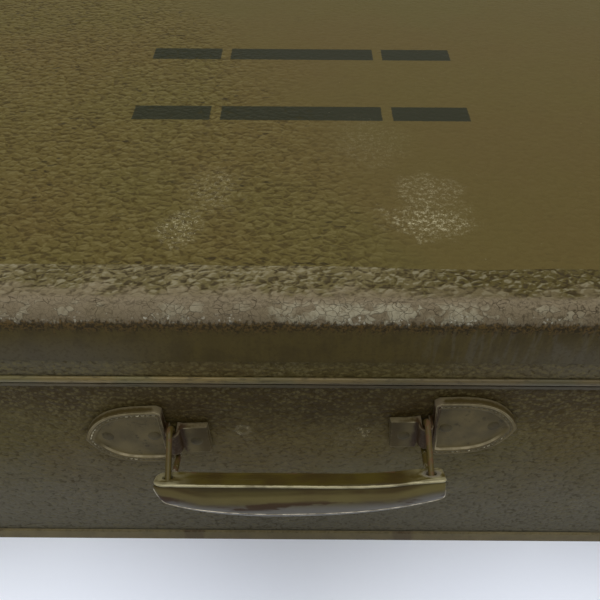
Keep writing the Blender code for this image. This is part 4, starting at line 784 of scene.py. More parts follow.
def ring_wire():
    finish = Finish("ring_wire")
    fine = finish.cloud(0.0005, 3.0, 0.6)
    at_ends = abs(finish.z - 0.1020).rise(0.003, 0.008)
    rust = finish.cloud(0.0035, 4.0, 0.7).rise(0.47, 0.57) * at_ends
    finish.colour = finish.mix(rust * 0.85, WIRE_OLIVE, RUST)
    # Pale bare metal low on the ring, rubbed in the grip's holes, and painted pale there as a glint too.
    bare = finish.cloud(0.003, 3.0).rise(0.57, 0.64) * finish.z.rise(0.106, 0.096)
    finish.tint(bare * 0.85, BARE_METAL_AND_GLINT)
    finish.raised(finish.cloud(0.0012, 3.0, 0.6), 0.00012, 0.6)
    roughness = 0.34 + rust * 0.4 + fine * 0.1
    return finish.done(roughness, bare * 0.8, sheen_level=0.15)


BRASS = srgb(0.46, 0.385, 0.215)
BRASS_BROWN = srgb(0.33, 0.265, 0.140)
BRASS_DARK = srgb(0.160, 0.128, 0.070)
BRASS_BRIGHT = srgb(0.68, 0.60, 0.40)


def latch_metal():
    """Brass with brown tarnish, bright on its rubbed edges and scratched where hands touch it."""
    finish = Finish("latch_metal")
    brushed = finish.cloud(0.0010, 3.0, 0.6, finish.stretched(0.12, 1.0, 1.0))
    finish.colour = finish.mix(finish.cloud(0.007, 4.0, 0.65).rise(0.40, 0.60), BRASS, BRASS_BROWN)
    finish.tint(brushed.rise(0.35, 0.75) * 0.35, BRASS_BROWN)
    tarnish = finish.cloud(0.0028, 4.0, 0.7).rise(0.54, 0.68)
    finish.tint(tarnish * 0.75, BRASS_DARK)
    scratched = abs(finish.cloud(0.004, 2.0, 0.6, finish.stretched(0.35, 1.0, 1.0)) - 0.5).rise(0.012, 0.003)
    finish.tint(scratched * 0.45, BRASS_BRIGHT)
    rubbed = worn_edges(finish)
    finish.tint(rubbed * 0.45, BRASS_BRIGHT)
    finish.raised(brushed, 0.00008, 0.5)
    finish.raised(tarnish, 0.00006, 0.4)
    return finish.done(0.34 + tarnish * 0.35 + brushed * 0.12 - rubbed * 0.08, 0.90 - tarnish * 0.45)


def bare_steel():
    finish = Finish("bare_steel")
    drawn = finish.cloud(0.0008, 3.0, 0.6, finish.stretched(0.15, 1.0, 1.0))
    tarnish = finish.cloud(0.004, 3.0, 0.6).rise(0.5, 0.7)
    finish.colour = finish.mix(tarnish * 0.6, srgb(0.50, 0.49, 0.46), srgb(0.27, 0.235, 0.19))
    finish.raised(drawn, 0.00005, 0.4)
    return finish.done(0.32 + tarnish * 0.25, 1.0 - tarnish * 0.3)


def lining_cloth():
    finish = Finish("lining_cloth")
    thread = 0.0007
    warp, weft_y, weft_z = (finish.maths("SINE", at * (math.tau / thread)) for at in (finish.x, finish.y, finish.z))
    weave = (warp * weft_y * weft_z.most(0.4)) * 0.5 + 0.5
    stain = finish.cloud(0.09, 3.0).rise(0.45, 0.7)
    finish.colour = finish.mix(stain * 0.5, srgb(0.66, 0.585, 0.44), srgb(0.52, 0.44, 0.31))
    slub = finish.cloud(0.0015, 3.0, 0.6, finish.stretched(0.15, 1.0, 1.0)).rise(0.55, 0.75)
    finish.tint(slub * 0.3, srgb(0.72, 0.66, 0.53))
    finish.raised(weave, 0.00012, 0.5)
    finish.raised(finish.cloud(0.03, 2.0), 0.0008, 0.5)
    return finish.done(0.88, sheen_level=0.25)


def stitch_thread():
    finish = Finish("stitch_thread")
    twist = finish.maths("SINE", (finish.x + finish.z) * (math.tau / 0.0005)) * 0.5 + 0.5
    grime = finish.cloud(0.004, 3.0).rise(0.35, 0.65)
    bright = finish.cloud(0.006, 2.0).rise(0.50, 0.60) * (1 - grime)
    finish.colour = finish.mix(bright, srgb(0.34, 0.31, 0.22), srgb(0.72, 0.68, 0.56))
    finish.raised(twist, 0.00008, 0.6)
    return finish.done(0.8, sheen_level=0.3)


# Meshes
def sheet_of(rows, close_rows=False, close_columns=False, cap_ends=False):
    """Vertices and faces that join rows of points in order."""
    width = len(rows[0])
    points = [point for row in rows for point in row]
    faces = []
    for i in range(len(rows) if close_rows else len(rows) - 1):
        near, far = i * width, (i + 1) % len(rows) * width
        for j in range(width if close_columns else width - 1):
            k = (j + 1) % width
            faces.append((near + j, near + k, far + k, far + j))
    if cap_ends:
        last = (len(rows) - 1) * width
        faces.append(tuple(range(width)))
        faces.append(tuple(last + j for j in range(width)))
    return points, faces


def joined(parts):
    """Several (points, faces) as one."""
    points, faces = [], []
    for some_points, some_faces in parts:
        shift = len(points)
        points += some_points
        faces += [tuple(i + shift for i in face) for face in some_faces]
    return points, faces


def capped(rings_of_points):
    """Closed rings of points joined in order, with the first and the last one filled."""
    return sheet_of(rings_of_points, close_columns=True, cap_ends=True)


def smoothed(mesh):
    mesh.shade_smooth()
    mesh.set_sharp_from_angle(angle=SMOOTH_ANGLE)


def linked(name, data):
    """A new object in the scene."""
    made = bpy.data.objects.new(name, data)
    bpy.context.scene.collection.objects.link(made)
    return made


def solid(name, shape, place=None, wear_and_light=None):
    """An object from points and faces, not yet part of the suitcase, with a value at each point for its worn paint and
    painted light.
    """
    points, faces = shape
    work = bmesh.new()
    made_points = [work.verts.new(place @ Vector(p) if place else Vector(p)) for p in points]
    for face in faces:
        work.faces.new([made_points[i] for i in face])
    bmesh.ops.recalc_face_normals(work, faces=work.faces)
    if work.calc_volume(signed=True) < 0:
        bmesh.ops.reverse_faces(work, faces=work.faces)
    mesh = bpy.data.meshes.new(name)
    work.to_mesh(mesh)
    work.free()
    smoothed(mesh)
    if wear_and_light:
        mesh.attributes.new("wear_and_light", "FLOAT", "POINT").data.foreach_set("value", wear_and_light)
    return linked(name, mesh)


def carved(made, cutters, operation="DIFFERENCE"):
    """Cuts solids out of another, or trims it to one, and throws them away."""
    for cutter in cutters:
        step = made.modifiers.new("cut", "BOOLEAN")
        step.operation = operation
        step.object = cutter
        step.solver = "EXACT"
    bpy.context.view_layer.update()
    mesh = bpy.data.meshes.new_from_object(made.evaluated_get(bpy.context.evaluated_depsgraph_get()))
    made.modifiers.clear()
    made.data = mesh
    smoothed(mesh)
    for cutter in cutters:
        bpy.data.objects.remove(cutter, do_unlink=True)


def coated(data, material):
    """Gives a mesh its one material."""
    data.materials.clear()
    data.materials.append(material)


def finished(made, material, body, replaced=()):
    """Gives an object its material and makes it part of the suitcase."""
    coated(made.data, material)
    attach(made, body)
    if replaced:
        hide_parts(*replaced)
    return made


def piece(name, shape, material, body, replaced=(), place=None, wear_and_light=None):
    return finished(solid(name, shape, place, wear_and_light=wear_and_light), material, body, replaced)


def tube(path, radius, sides=12, closed=False):
    """A round wire along a path of points. Its ends are capped where the path is open."""
    rows = []
    count = len(path)
    side = None
    for i, point in enumerate(path):
        before = path[i - 1] if closed or i else path[0]
        after = path[(i + 1) % count] if closed or i < count - 1 else path[-1]
        forward = (after - before).normalized()
        if side is None:
            side = forward.orthogonal().normalized()
        side = (side - forward * side.dot(forward)).normalized()
        up = forward.cross(side)
        size = radius(i / (count - 1)) if callable(radius) else radius
        rows.append([point + (side * math.cos(a) + up * math.sin(a)) * size for a in full_turn(sides)])
    return sheet_of(rows, close_rows=closed, close_columns=True, cap_ends=not closed)


def stitch(start, end, out, radius):
    """One stitch of thread, which dips into its holes at both ends."""
    path = []
    for share in (0.0, 0.12, 0.3, 0.5, 0.7, 0.88, 1.0):
        lift = math.sin(share * math.pi) ** 0.5
        path.append(start.lerp(end, share) + out * radius * (1.4 * lift - 1.0))
    return tube(path, lambda share: radius * (0.65 + 0.35 * math.sin(share * math.pi)), 8)


def stitches_along(path, out, pitch, length, radius):
    """A row of stitches along a path of points."""
    made = []
    travelled, next_start, start = 0.0, pitch / 2, None
    for here, there in zip(path, path[1:]):
        span = (there - here).length
        while span and next_start <= travelled + span:
            point = here.lerp(there, (next_start - travelled) / span)
            if start is None:
                start, next_start = point, next_start + length
            else:
                made.append(stitch(start, point, out, radius))
                start, next_start = None, next_start + pitch - length
        travelled += span
    return joined(made)


def arc(centre, radius, start, end, count):
    return [(centre[0] + radius * math.cos(a), centre[1] + radius * math.sin(a))
            for a in steps_between(start, end, count)]


def steps_between(first, last, count):
    return [first + (last - first) * i / count for i in range(count + 1)]


def full_turn(count):
    return steps_between(0.0, math.tau, count)[:-1]


def circle(x, y, radius, height, count):
    return [(x + radius * math.cos(a), y + radius * math.sin(a), height) for a in full_turn(count)]


# Rings round the case
CORNERS = ((1, 1), (-1, 1), (-1, -1), (1, -1))
CORNER_STEPS = 14
EDGE_STEPS = 10


def case_columns(along_width, along_depth):
    """Places round the case, as (corner, is on its arc, share of the arc or of the side after it)."""
    columns = []
    for corner in range(4):
        columns += [(corner, True, i / CORNER_STEPS) for i in range(CORNER_STEPS)]
        count = along_width if corner % 2 == 0 else along_depth
        columns += [(corner, False, i / count) for i in range(count)]
    return columns


def case_point(column, inset, height):
    corner, on_arc, share = column
    radius = max(CORNER_RADIUS - inset, LEAST_CORNER_RADIUS)
    x, y = HALF_WIDTH - inset - radius, HALF_DEPTH - inset - radius

    def on_corner(number, turn):
        sx, sy = CORNERS[number % 4]
        angle = (number + turn) * math.pi / 2
        return Vector((sx * x + radius * math.cos(angle), sy * y + radius * math.sin(angle), height))
    if on_arc:
        return on_corner(corner, share)
    return on_corner(corner, 1.0).lerp(on_corner(corner + 1, 0.0), share)


def band_rows(columns, profile):
    """A profile of (inset, height) carried along columns of the case."""
    return [[case_point(column, inset, height) for column in columns] for inset, height in profile]


def case_band(name, profile, material, body, replaced):
    """A closed profile carried all the way round the case."""
    shape = sheet_of(band_rows(case_columns(1, 1), profile), close_rows=True, close_columns=True)
    return piece(name, shape, material, body, replaced)


def edge_turn(edge_radius, top, side, out=0.0):
    """A rounded edge as (inset, height), from the flat face to the wall."""
    radius = edge_radius + out
    return [(edge_radius - radius * math.sin(a), top - side * edge_radius + side * radius * math.cos(a))
            for a in (i / EDGE_STEPS * math.pi / 2 for i in range(EDGE_STEPS + 1))]


def shells(cloth_lid, cloth_base):
    """The lid and the base as trays with rounded edges. Their walls have the base's cloth."""
    for name, body, material, outer, edge, edge_radius in (
        ("lid_shell", "lid", cloth_lid, CASE_HEIGHT, LID_EDGE, TOP_EDGE_RADIUS),
        ("base_shell", "case_base", cloth_base, 0.0, BASE_EDGE, FLOOR_EDGE_RADIUS),
    ):
        side = 1 if outer > edge else -1
        profile = [(WALL_THICKNESS, outer - side * WALL_THICKNESS), (WALL_THICKNESS, edge), (0.0, edge)]
        profile += edge_turn(edge_radius, outer, side)[::-1]
        shape = capped(band_rows(case_columns(1, 1), profile))
        made = piece(name + "_cloth", shape, material, body, [name])
        made.data.materials.append(cloth_base)
        for face in made.data.polygons:
            if abs(face.normal.z) < 0.5:
                face.material_index = 1


def rails(material):
    bottom = SEAM_HEIGHT + CLEARANCE / 2
    middle = bottom + LID_RAIL_HEIGHT / 2
    proud = LID_RAIL_PROUD - CLEARANCE
    bead = [
        (-CLEARANCE - proud * math.sin(a) ** 0.8, middle + LID_RAIL_HEIGHT / 2 * math.cos(a))
        for a in steps_between(0.0, math.pi, 14)
    ]
    inner = WALL_THICKNESS + CLEARANCE + RAIL_METAL
    inner_top = bottom + RAIL_INNER_HEIGHT
    lid_profile = bead + [
        (inner, bottom), (inner, inner_top), (inner - RAIL_METAL, inner_top),
        (inner - RAIL_METAL, bottom + RAIL_METAL), (-CLEARANCE, bottom + RAIL_METAL),
    ]
    case_band("lid_rail_bead", lid_profile, material, "lid", ["lid_rail"])

    top = SEAM_HEIGHT - CLEARANCE / 2
    low = top - BASE_RAIL_HEIGHT
    web = top - RAIL_METAL
    round_low = arc((-BASE_RAIL_PROUD + 0.0006, low + 0.0006), 0.0006, -math.pi / 2, -math.pi, 4)
    tongue = inner + CLEARANCE + RAIL_METAL
    tongue_top = SEAM_HEIGHT + TONGUE_RISE
    base_profile = [(-CLEARANCE, low)] + round_low + [
        (-BASE_RAIL_PROUD, top), (tongue - RAIL_METAL, top), (tongue - RAIL_METAL, tongue_top),
        (tongue, tongue_top), (tongue, web), (inner, web), (inner, top - RAIL_INNER_HEIGHT),
        (inner - RAIL_METAL, top - RAIL_INNER_HEIGHT), (inner - RAIL_METAL, web), (-CLEARANCE, web),
    ]
    case_band("base_rail_lip", base_profile, material, "case_base", ["base_rail"])


def floor_binding(material):
    out = CLEARANCE + FLOOR_BINDING_THICKNESS
    top = FLOOR_BINDING_HEIGHT
    rounding = 0.0009
    profile = [(-CLEARANCE, 0.0), (-out, 0.0)]
    profile += arc((-out + rounding, top - rounding), rounding, math.pi, math.pi / 2, 4)
    profile.append((-CLEARANCE, top))
    case_band("base_floor_strip", profile, material, "case_base", ["base_floor_binding"])


def uneven(point, size, reach):
    """A small push that varies smoothly from place to place."""
    return (noise.noise(Vector(point) / size) + 0.5 * noise.noise(Vector(point) / size * 2.3)) * reach


def lid_binding(material):
    """A band of worn cloth over the lid's edge, thinner towards both of its own edges."""
    columns = case_columns(*BINDING_COLUMNS)
    flat_insets = steps_between(BINDING_TOP_WIDTH, TOP_EDGE_RADIUS, 16)
    wall_heights = steps_between(CASE_HEIGHT - TOP_EDGE_RADIUS, BINDING_LOWER_EDGE, 12)
    levels = []
    for out in (CLEARANCE + BINDING_THICKNESS, CLEARANCE):
        profile = [(inset, CASE_HEIGHT + out, "flat") for inset in flat_insets[:-1]]
        profile += [(inset, height, "edge") for inset, height in edge_turn(TOP_EDGE_RADIUS, CASE_HEIGHT, 1, out)]
        profile += [(-out, height, "wall") for height in wall_heights[1:]]
        levels.append([[case_point(column, inset, height) for column in columns] for inset, height, _ in profile])
        if out > CLEARANCE:
            for (inset, height, zone), row in zip(profile, levels[0]):
                shaped_binding(row, columns, inset, height, zone)
    rows_out, rows_in = levels
    for rows in levels:
        wander_of_edge(rows)
    shape = sheet_of(rows_out + rows_in[::-1], close_rows=True, close_columns=True)
    piece("lid_binding_band", shape, material, "lid", ["lid_edge_binding"])


def shaped_binding(row, columns, inset, height, zone):
    """Thins a row of the binding near its edges, and makes it slightly uneven."""
    edge_share = 1.0
    if zone == "flat":
        edge_share = min((BINDING_TOP_WIDTH - inset) / 0.005, 1.0)
    elif zone == "wall":
        edge_share = min((height - BINDING_LOWER_EDGE) / 0.003, 1.0)
    sink = (1 - edge_share) * BINDING_THICKNESS * BINDING_THIN
    for j, column in enumerate(columns):
        outward = Vector((0, 0, 1))
        if zone != "flat":
            outward = (row[j] - case_point(column, inset + 0.01, height)).normalized()
        row[j] -= outward * (sink - uneven(row[j], 0.012, 0.00012) * edge_share)


def wander_of_edge(rows):
    """Makes the binding's inner edge on the lid's top run unevenly, as it was cut by hand."""
    for row, share in zip(rows, (1.0, 0.7, 0.4, 0.15)):
        for j, point in enumerate(row):
            narrower = 0.0010 + 0.0012 * (1 + math.tanh((point.x - 0.035) / 0.004)) / 2
            narrower += uneven((point.x, point.y, 0.0), 0.03, 0.0008)
            if HALF_WIDTH - abs(point.x) < HALF_DEPTH - abs(point.y):
                inward = Vector((-math.copysign(1, point.x), 0, 0))
            else:
                inward = Vector((0, -math.copysign(1, point.y), 0))
            row[j] = point - inward * narrower * share


# Handle
def handle_frames():
    """Frames of the leathers on the wall, of the swinging rings and of the grip's plate."""
    joint = next(j for j in frame["joints"] if j["name"] == "handle_swing")
    pivot, axis = Vector(joint["pos_m"]), Vector(joint["axis"])
    tilt = math.atan2(abs(axis.z), abs(axis.x))
    on_wall = Matrix.Translation((pivot.x, -HALF_DEPTH, pivot.z))
    on_wall = on_wall @ Euler((math.pi / 2, -tilt, 0.0)).to_matrix().to_4x4()
    out = -HALF_DEPTH - pivot.y
    swing = on_wall @ Matrix.Translation((0.0, 0.0, out)) @ Matrix.Rotation(RING_DROOP, 4, "X")
    turn = GRIP_PLATE_LEAN + RING_DROOP
    seat_out = GRIP_HOLE_DISTANCE * math.cos(RING_TAPER) + GRIP_HOLE_SETBACK * math.cos(turn)
    seat_up = RING_BAR_LENGTH / 2 - GRIP_HOLE_DISTANCE * math.sin(RING_TAPER)
    seat_up += GRIP_HOLE_SETBACK * math.sin(turn)
    grip = swing @ Matrix.Translation((0.0, seat_up, seat_out)) @ Matrix.Rotation(-math.pi / 2 - turn, 4, "X")
    return on_wall, swing, grip, out


def shield_loop(direction, inset, end_inset):
    """The shield's outline, moved in, as a closed loop from its lower inner corner."""
    start = BRIDGE_HALF_GAP + BRIDGE_LEATHER + CLEARANCE + end_inset
    length = SHIELD_LENGTH - end_inset - inset * 1.1
    half_height = SHIELD_HEIGHT / 2 - inset
    corner = max(0.0018 - inset, 0.0006)
    rows = []
    for i in range(SHIELD_CURVE_STEPS + 1):
        share = 1 - (1 - i / SHIELD_CURVE_STEPS) ** 2
        half = half_height * max(1 - share ** SHIELD_CURVE_POWER, 0.0) ** SHIELD_POINT_POWER
        x = share * length
        if x < corner:
            half -= corner - math.sqrt(corner ** 2 - (corner - x) ** 2)
        rows.append((start + x, half))
    loop = [(x, -half) for x, half in rows[:-1]] + rows[::-1]
    first, last = loop[0], loop[-1]
    for i in range(1, SHIELD_END_STEPS):
        share = i / SHIELD_END_STEPS
        loop.append((last[0] + (first[0] - last[0]) * share, last[1] + (first[1] - last[1]) * share))
    return [(direction * x, y) for x, y in loop]


def shield_profile():
    """How the shield's face goes from its edge to its middle, as (inset, end inset, height)."""
    face, dish = SHIELD_THICKNESS, SHIELD_DISH_DEPTH
    rows = [(0.0, 0.0, CLEARANCE), (0.0, 0.0, face * 0.45), (0.00005, 0.00005, face - 0.0013)]
    rows += [
        (0.0012 - 0.0012 * math.cos(a), 0.0012 - 0.0012 * math.cos(a), face - 0.0012 + 0.0012 * math.sin(a))
        for a in steps_between(0.2, math.pi / 2, 6)
    ]
    rows += [(0.0019, 0.0013, face), (0.0022, 0.0014, face - 0.00022), (0.0026, 0.0015, face - 0.00022),
             (0.0029, 0.0016, face), (0.0036, 0.0018, face)]
    for share in steps_between(0.0, 1.0, 8)[1:]:
        drop = (1 - math.cos(share * math.pi)) / 2 * dish
        rows.append((0.0036 + 0.0017 * share, 0.0018 + 0.0014 * share, face - drop))
    return rows


def shield_wear_and_light(row, up):
    """Worn paint and painted light on a row of the shield's profile: brown on its sides, pale on its rim as worn paint,
    paler along the top edge as a painted highlight, and pale on the step at the bottom as a painted highlight where it
    faces up.
    """
    high = min(max(up * 2.0, 0.0), 1.0)
    if row <= 5:
        return -1.0
    # The rounded edge, pale only along the top: a painted highlight.
    if row in (6, 7):
        return 0.55 * high
    if row == 9:
        return 0.30 + 0.35 * high
    if 10 <= row <= 15:
        return -0.35
    # The dish's step at the bottom faces up: a painted highlight.
    if 16 <= row <= 19:
        return 0.85 * min(max(-up * 2.2 - 0.15, 0.0), 1.0)
    return 0.0


def shield_middle(loop, height):
    """Rows that close the shield's face inside a loop, slightly puffed, towards a line along its middle."""
    first, last = min(abs(x) for x, _ in loop), max(abs(x) for x, _ in loop)
    near, far = first + 0.007, last - 0.012
    rows = []
    for share in (0.1, 0.25, 0.45, 0.7, 0.97):
        puff = math.sin(share * math.pi / 2) * 0.00055
        row = []
        for x, y in loop:
            end = math.copysign(min(max(abs(x), near), far), x)
            row.append((x + (end - x) * share, y * (1 - share), height + puff))
        rows.append(row)
    return rows


def handle_leathers(on_wall, out, leather, thread, rivet_paint):
    for side, direction in SIDES:
        at_ring = on_wall @ Matrix.Translation((direction * RING_SPACING / 2, 0.0, 0.0))
        profile = shield_profile()
        rows = [
            [(x, y, height) for x, y in shield_loop(direction, inset, end_inset)]
            for inset, end_inset, height in profile
        ]
        inset, end_inset, height = profile[-1]
        rows += shield_middle(shield_loop(direction, inset, end_inset), height)
        wear_and_light = [shield_wear_and_light(i, y / (SHIELD_HEIGHT / 2)) for i, row in enumerate(rows) for _, y, _ in row]
        replaced = [f"handle_shield_{side}"]
        piece(f"shield_{side}", capped(rows), leather, "case_base", replaced, at_ring, wear_and_light)
        seam = [at_ring @ Vector((x, y, SHIELD_THICKNESS - 0.0001))
                for x, y in shield_loop(direction, *SHIELD_SEAM)[:SHIELD_SEAM_POINTS]]
        outward = (at_ring.to_3x3() @ Vector((0, 0, 1))).normalized()
        shape = stitches_along(seam, outward, *SHIELD_STITCHES)
        piece(f"shield_stitches_{side}", shape, thread, "case_base")
        strap(side, direction, at_ring, out, leather)
        rivet_heads(side, direction, at_ring, rivet_paint)


def strap_edge(direction, out):
    """The strap seen on edge as (x, z): tucked end, bridge over the ring's bar, tab."""
    underside = out + WIRE_RADIUS / math.cos(RING_RISE)
    underside += BRIDGE_HEIGHT / 2 * math.tan(RING_RISE) + RING_BACK_CLEARANCE
    half, outer = BRIDGE_HALF_GAP, BRIDGE_HALF_GAP + BRIDGE_LEATHER
    top = underside + BRIDGE_LEATHER
    tuck_top = CLEARANCE + STRAP_THICKNESS
    end = -outer - TAB_LENGTH
    rounding = 0.0012
    shoulder = outer + 0.0006
    edge = [(STRAP_TUCK, tuck_top), (STRAP_TUCK, CLEARANCE), (shoulder, CLEARANCE), (outer, CLEARANCE),
            (half, CLEARANCE)]
    edge += arc((0.0, underside - half), half, 0.0, math.pi, 12)
    edge += [(-half, CLEARANCE), (-outer, CLEARANCE), (-shoulder, CLEARANCE), (end, CLEARANCE)]
    edge += arc((end + rounding, TAB_THICKNESS - rounding), rounding, math.pi, math.pi / 2, 5)
    edge += [(-outer - 0.0020, TAB_THICKNESS), (-outer - 0.0007, TAB_THICKNESS + 0.0002),
             (-outer, TAB_THICKNESS + 0.0010)]
    edge += arc((0.0, top - outer), outer, math.pi, 0.0, 12)
    edge += [(outer, tuck_top), (shoulder, tuck_top)]
    return [(direction * x, z) for x, z in edge]


# Sections across the strap, from its lower edge (-1) to its upper one (1): pale on the tab's edges, palest along its
# top as a painted highlight, and brown on its sides.
STRAP_SECTIONS = (
    (-1.0, -1.0), (-0.985, -0.5), (-0.96, 0.2), (-0.92, 0.2), (-0.89, 0.0), (-0.5, 0.0), (0.0, 0.0), (0.5, 0.0),
    (0.89, 0.0), (0.92, 1.0), (0.96, 1.0), (0.985, -0.5), (1.0, -1.0),
)


def strap_wear_and_light(from_ring, worn):
    """The strap's worn paint and painted light at a place along it: brown at the tab's tip as painted shade, and pale
    edges on the tab alone.
    """
    outer = BRIDGE_HALF_GAP + BRIDGE_LEATHER
    # The tab's tip is brown as painted shade.
    if from_ring < -outer - TAB_LENGTH + 0.0013:
        return -0.9
    return worn if worn < 0 or from_ring < -outer - 0.0016 else 0.0


def strap(side, direction, at_ring, out, leather):
    """The strap from its lower edge to its upper one: each section has a place across it, and its worn paint and
    painted light.
    """
    middle = [Vector(point) for point in strap_edge(direction, out)]
    inward = []
    for i in range(len(middle)):
        along = (middle[(i + 1) % len(middle)] - middle[i - 1]).normalized()
        inward.append(Vector((along.y, -along.x)) * direction)
    outer = BRIDGE_HALF_GAP + BRIDGE_LEATHER
    rows, wear_and_light = [], []
    for place, worn in STRAP_SECTIONS:
        from_end = (1 - abs(place)) * STRAP_HEIGHT / 2
        share = min(from_end / STRAP_ROUNDING, 1.0)
        sunk = STRAP_ROUNDING * (1 - math.sqrt(1 - (1 - share) ** 2)) * 0.8
        row = []
        for point, aside in zip(middle, inward):
            narrow = 1.0 if abs(point.x) > outer + CLEARANCE else BRIDGE_HEIGHT / STRAP_HEIGHT
            drop = TAB_DROP if direction * point.x < -outer - CLEARANCE else 0.0
            moved = point + aside * sunk
            row.append((moved.x, place * STRAP_HEIGHT / 2 * narrow - drop, moved.y))
        rows.append(row)
        wear_and_light += [strap_wear_and_light(direction * point.x, worn) for point in middle]
    piece(f"strap_{side}", capped(rows), leather, "case_base", [f"handle_strap_{side}"], at_ring, wear_and_light)


def rivet_heads(side, direction, at_ring, finish):
    """Flush painted rivets, each in a shallow ring that its blow pressed into the leather."""
    face = SHIELD_THICKNESS - SHIELD_DISH_DEPTH
    heads = []
    for where, seat in (("tab", TAB_THICKNESS), ("inner", face + 0.0004), ("outer", face + 0.0003)):
        along, up = RIVET_PLACES[where]
        heads.append(capped([circle(direction * along, up, RIVET_HEAD_RADIUS * 0.9 * share, seat + rise, 40)
                             for share, rise in RIVET_HEAD_PROFILE]))
    piece(f"rivet_heads_{side}", joined(heads), finish, "case_base", [f"handle_rivets_{side}"], at_ring)


def ring_path(ring_x):
    """The ring's middle line in its own frame: a trapezoid with rounded corners."""
    half = RING_BAR_LENGTH / 2
    outer_half = half - RING_REACH * math.tan(RING_TAPER)
    corners = [Vector(c) for c in ((0.0, -half), (RING_REACH, -outer_half), (RING_REACH, outer_half), (0.0, half))]
    radii = (RING_BEND_RADIUS, RING_OUTER_BEND_RADIUS, RING_OUTER_BEND_RADIUS, RING_BEND_RADIUS)
    path = []
    for i, here in enumerate(corners):
        to_before = (corners[i - 1] - here).normalized()
        to_after = (corners[(i + 1) % 4] - here).normalized()
        half_angle = to_before.angle(to_after) / 2
        run = radii[i] / math.tan(half_angle)
        centre = here + (to_before + to_after).normalized() * (radii[i] / math.sin(half_angle))
        start, end = here + to_before * run - centre, here + to_after * run - centre
        sweep = start.angle_signed(end)
        for share in steps_between(0.0, 1.0, 10):
            turn = -sweep * share
            path.append(Vector((
                ring_x,
                centre.y + start.x * math.sin(turn) + start.y * math.cos(turn),
                centre.x + start.x * math.cos(turn) - start.y * math.sin(turn),
            )))
        following = corners[(i + 1) % 4]
        for share in (0.2, 0.35, 0.5, 0.65, 0.8):
            between = here.lerp(following, share)
            path.append(Vector((ring_x, between.y, between.x)))
    return path


def rings(swing, wire):
    for side, direction in SIDES:
        path = [swing @ point for point in ring_path(direction * RING_SPACING / 2)]
        shape = tube(path, WIRE_RADIUS, 16, closed=True)
        piece(f"ring_{side}", shape, wire, "handle", [f"handle_ring_{side}"])


# Grip
GRIP_CORNERS = {-1: 0.0052, 1: 0.0022}
GRIP_END_LEAN = {-1: 0.0036, 1: 0.0004}
GRIP_END_DRAW = {-1: 0.86, 1: 0.93}
GRIP_SAG = (
    (-0.0800, -0.0004), (-0.0650, -0.0002), (-0.0380, 0.0008), (0.0, 0.0021), (0.0250, 0.0029), (0.0400, 0.0026),
    (0.0520, 0.0016), (0.0650, 0.0010), (0.0800, 0.0006),
)
LIP_TURN = 0.704
SEAM_TURN = 0.674
BELLY_SECTIONS = 90
BELLY_TURNS = 84


def grip_sag(x):
    """How far years of carrying have bent the grip down at a place along it: a smooth curve through GRIP_SAG."""
    last = len(GRIP_SAG) - 3
    i = next(i for i in range(1, last + 1) if x <= GRIP_SAG[i + 1][0] or i == last)
    (x0, a), (x1, b), (x2, c), (x3, d) = GRIP_SAG[i - 1:i + 3]
    share = (x - x1) / (x2 - x1)
    slope_in = (c - a) / (x2 - x0) * (x2 - x1)
    slope_out = (d - b) / (x3 - x1) * (x2 - x1)
    s2, s3 = share ** 2, share ** 3
    return (2 * s3 - 3 * s2 + 1) * b + (s3 - 2 * s2 + share) * slope_in + (3 * s2 - 2 * s3) * c + (s3 - s2) * slope_out


def grip_loop(inset):
    """The plate's outline, with a rounder left end than right end."""
    loop = []
    half_x, half_y = GRIP_LENGTH / 2 - inset, GRIP_WIDTH / 2 - inset
    for sign_x, sign_y, start in ((1, 1, 0.0), (-1, 1, math.pi / 2), (-1, -1, math.pi), (1, -1, math.pi * 1.5)):
        radius, other = (max(GRIP_CORNERS[sign] - inset, 0.0004) for sign in (sign_x, -sign_x))
        centre = (sign_x * (half_x - radius), sign_y * (half_y - radius))
        loop += arc(centre, radius, start, start + math.pi / 2, 8)
        if sign_x == sign_y:
            from_x, to_x = centre[0], -sign_x * (half_x - other)
            loop += [(from_x + (to_x - from_x) * share, sign_y * half_y) for share in steps_between(0.0, 1.0, 60)[1:-1]]
    return loop


def plate_profile():
    """The plate's section as (inset, height): its underside's rim, rounded edge and slightly dished top."""
    thick = GRIP_PLATE_THICKNESS
    rounding = 0.00055
    profile = [(0.0010, -0.0001), (0.0003, 0.0)]
    profile += [(rounding - rounding * math.cos(a), thick / 2 + thick / 2 * math.sin(a))
                for a in steps_between(-math.pi / 2 + 0.3, math.pi / 2, 10)]
    return profile + [(0.0009, thick), (0.0014, thick - 0.00012), (0.0019, thick - 0.0003),
                      (0.0026, thick - 0.00035), (0.0045, thick - 0.00028), (0.0065, thick - 0.00025)]


def grip_plate_piece(grip, steel):
    rows = []
    for inset, height in plate_profile():
        row = []
        for x, y in grip_loop(inset):
            rough = uneven((x, y, inset), 0.006, 0.00010) if 0 < height else 0.0
            row.append((x, y + rough * 0.7, height + rough * 0.4))
        rows.append(row)
    for step in (0.35, 0.65, 0.9):
        rows.append([(x, y * (1 - step), GRIP_PLATE_THICKNESS - 0.00025) for x, y in grip_loop(0.0066)])
    plate = solid("grip_top", capped(rows), grip)
    carved(plate, [
        solid("hole", capped([circle(side * RING_SPACING / 2, GRIP_HOLE_SETBACK, GRIP_HOLE_RADIUS, height, 32)
                              for height in (-0.003, 0.003)]), grip)
        for side in (-1, 1)
    ])
    sagged(plate, grip)
    finished(plate, steel, "handle", ["grip_plate"])


def grip_depth(x):
    """Depth of the grip's belly under its plate."""
    share = min(abs(x) / (GRIP_LENGTH / 2), 1.0)
    end = GRIP_MIDDLE_DEPTH * GRIP_END_SHARE[-1 if x < 0 else 1]
    return end + (GRIP_MIDDLE_DEPTH - end) * (1 - share ** 2.3) ** 0.9


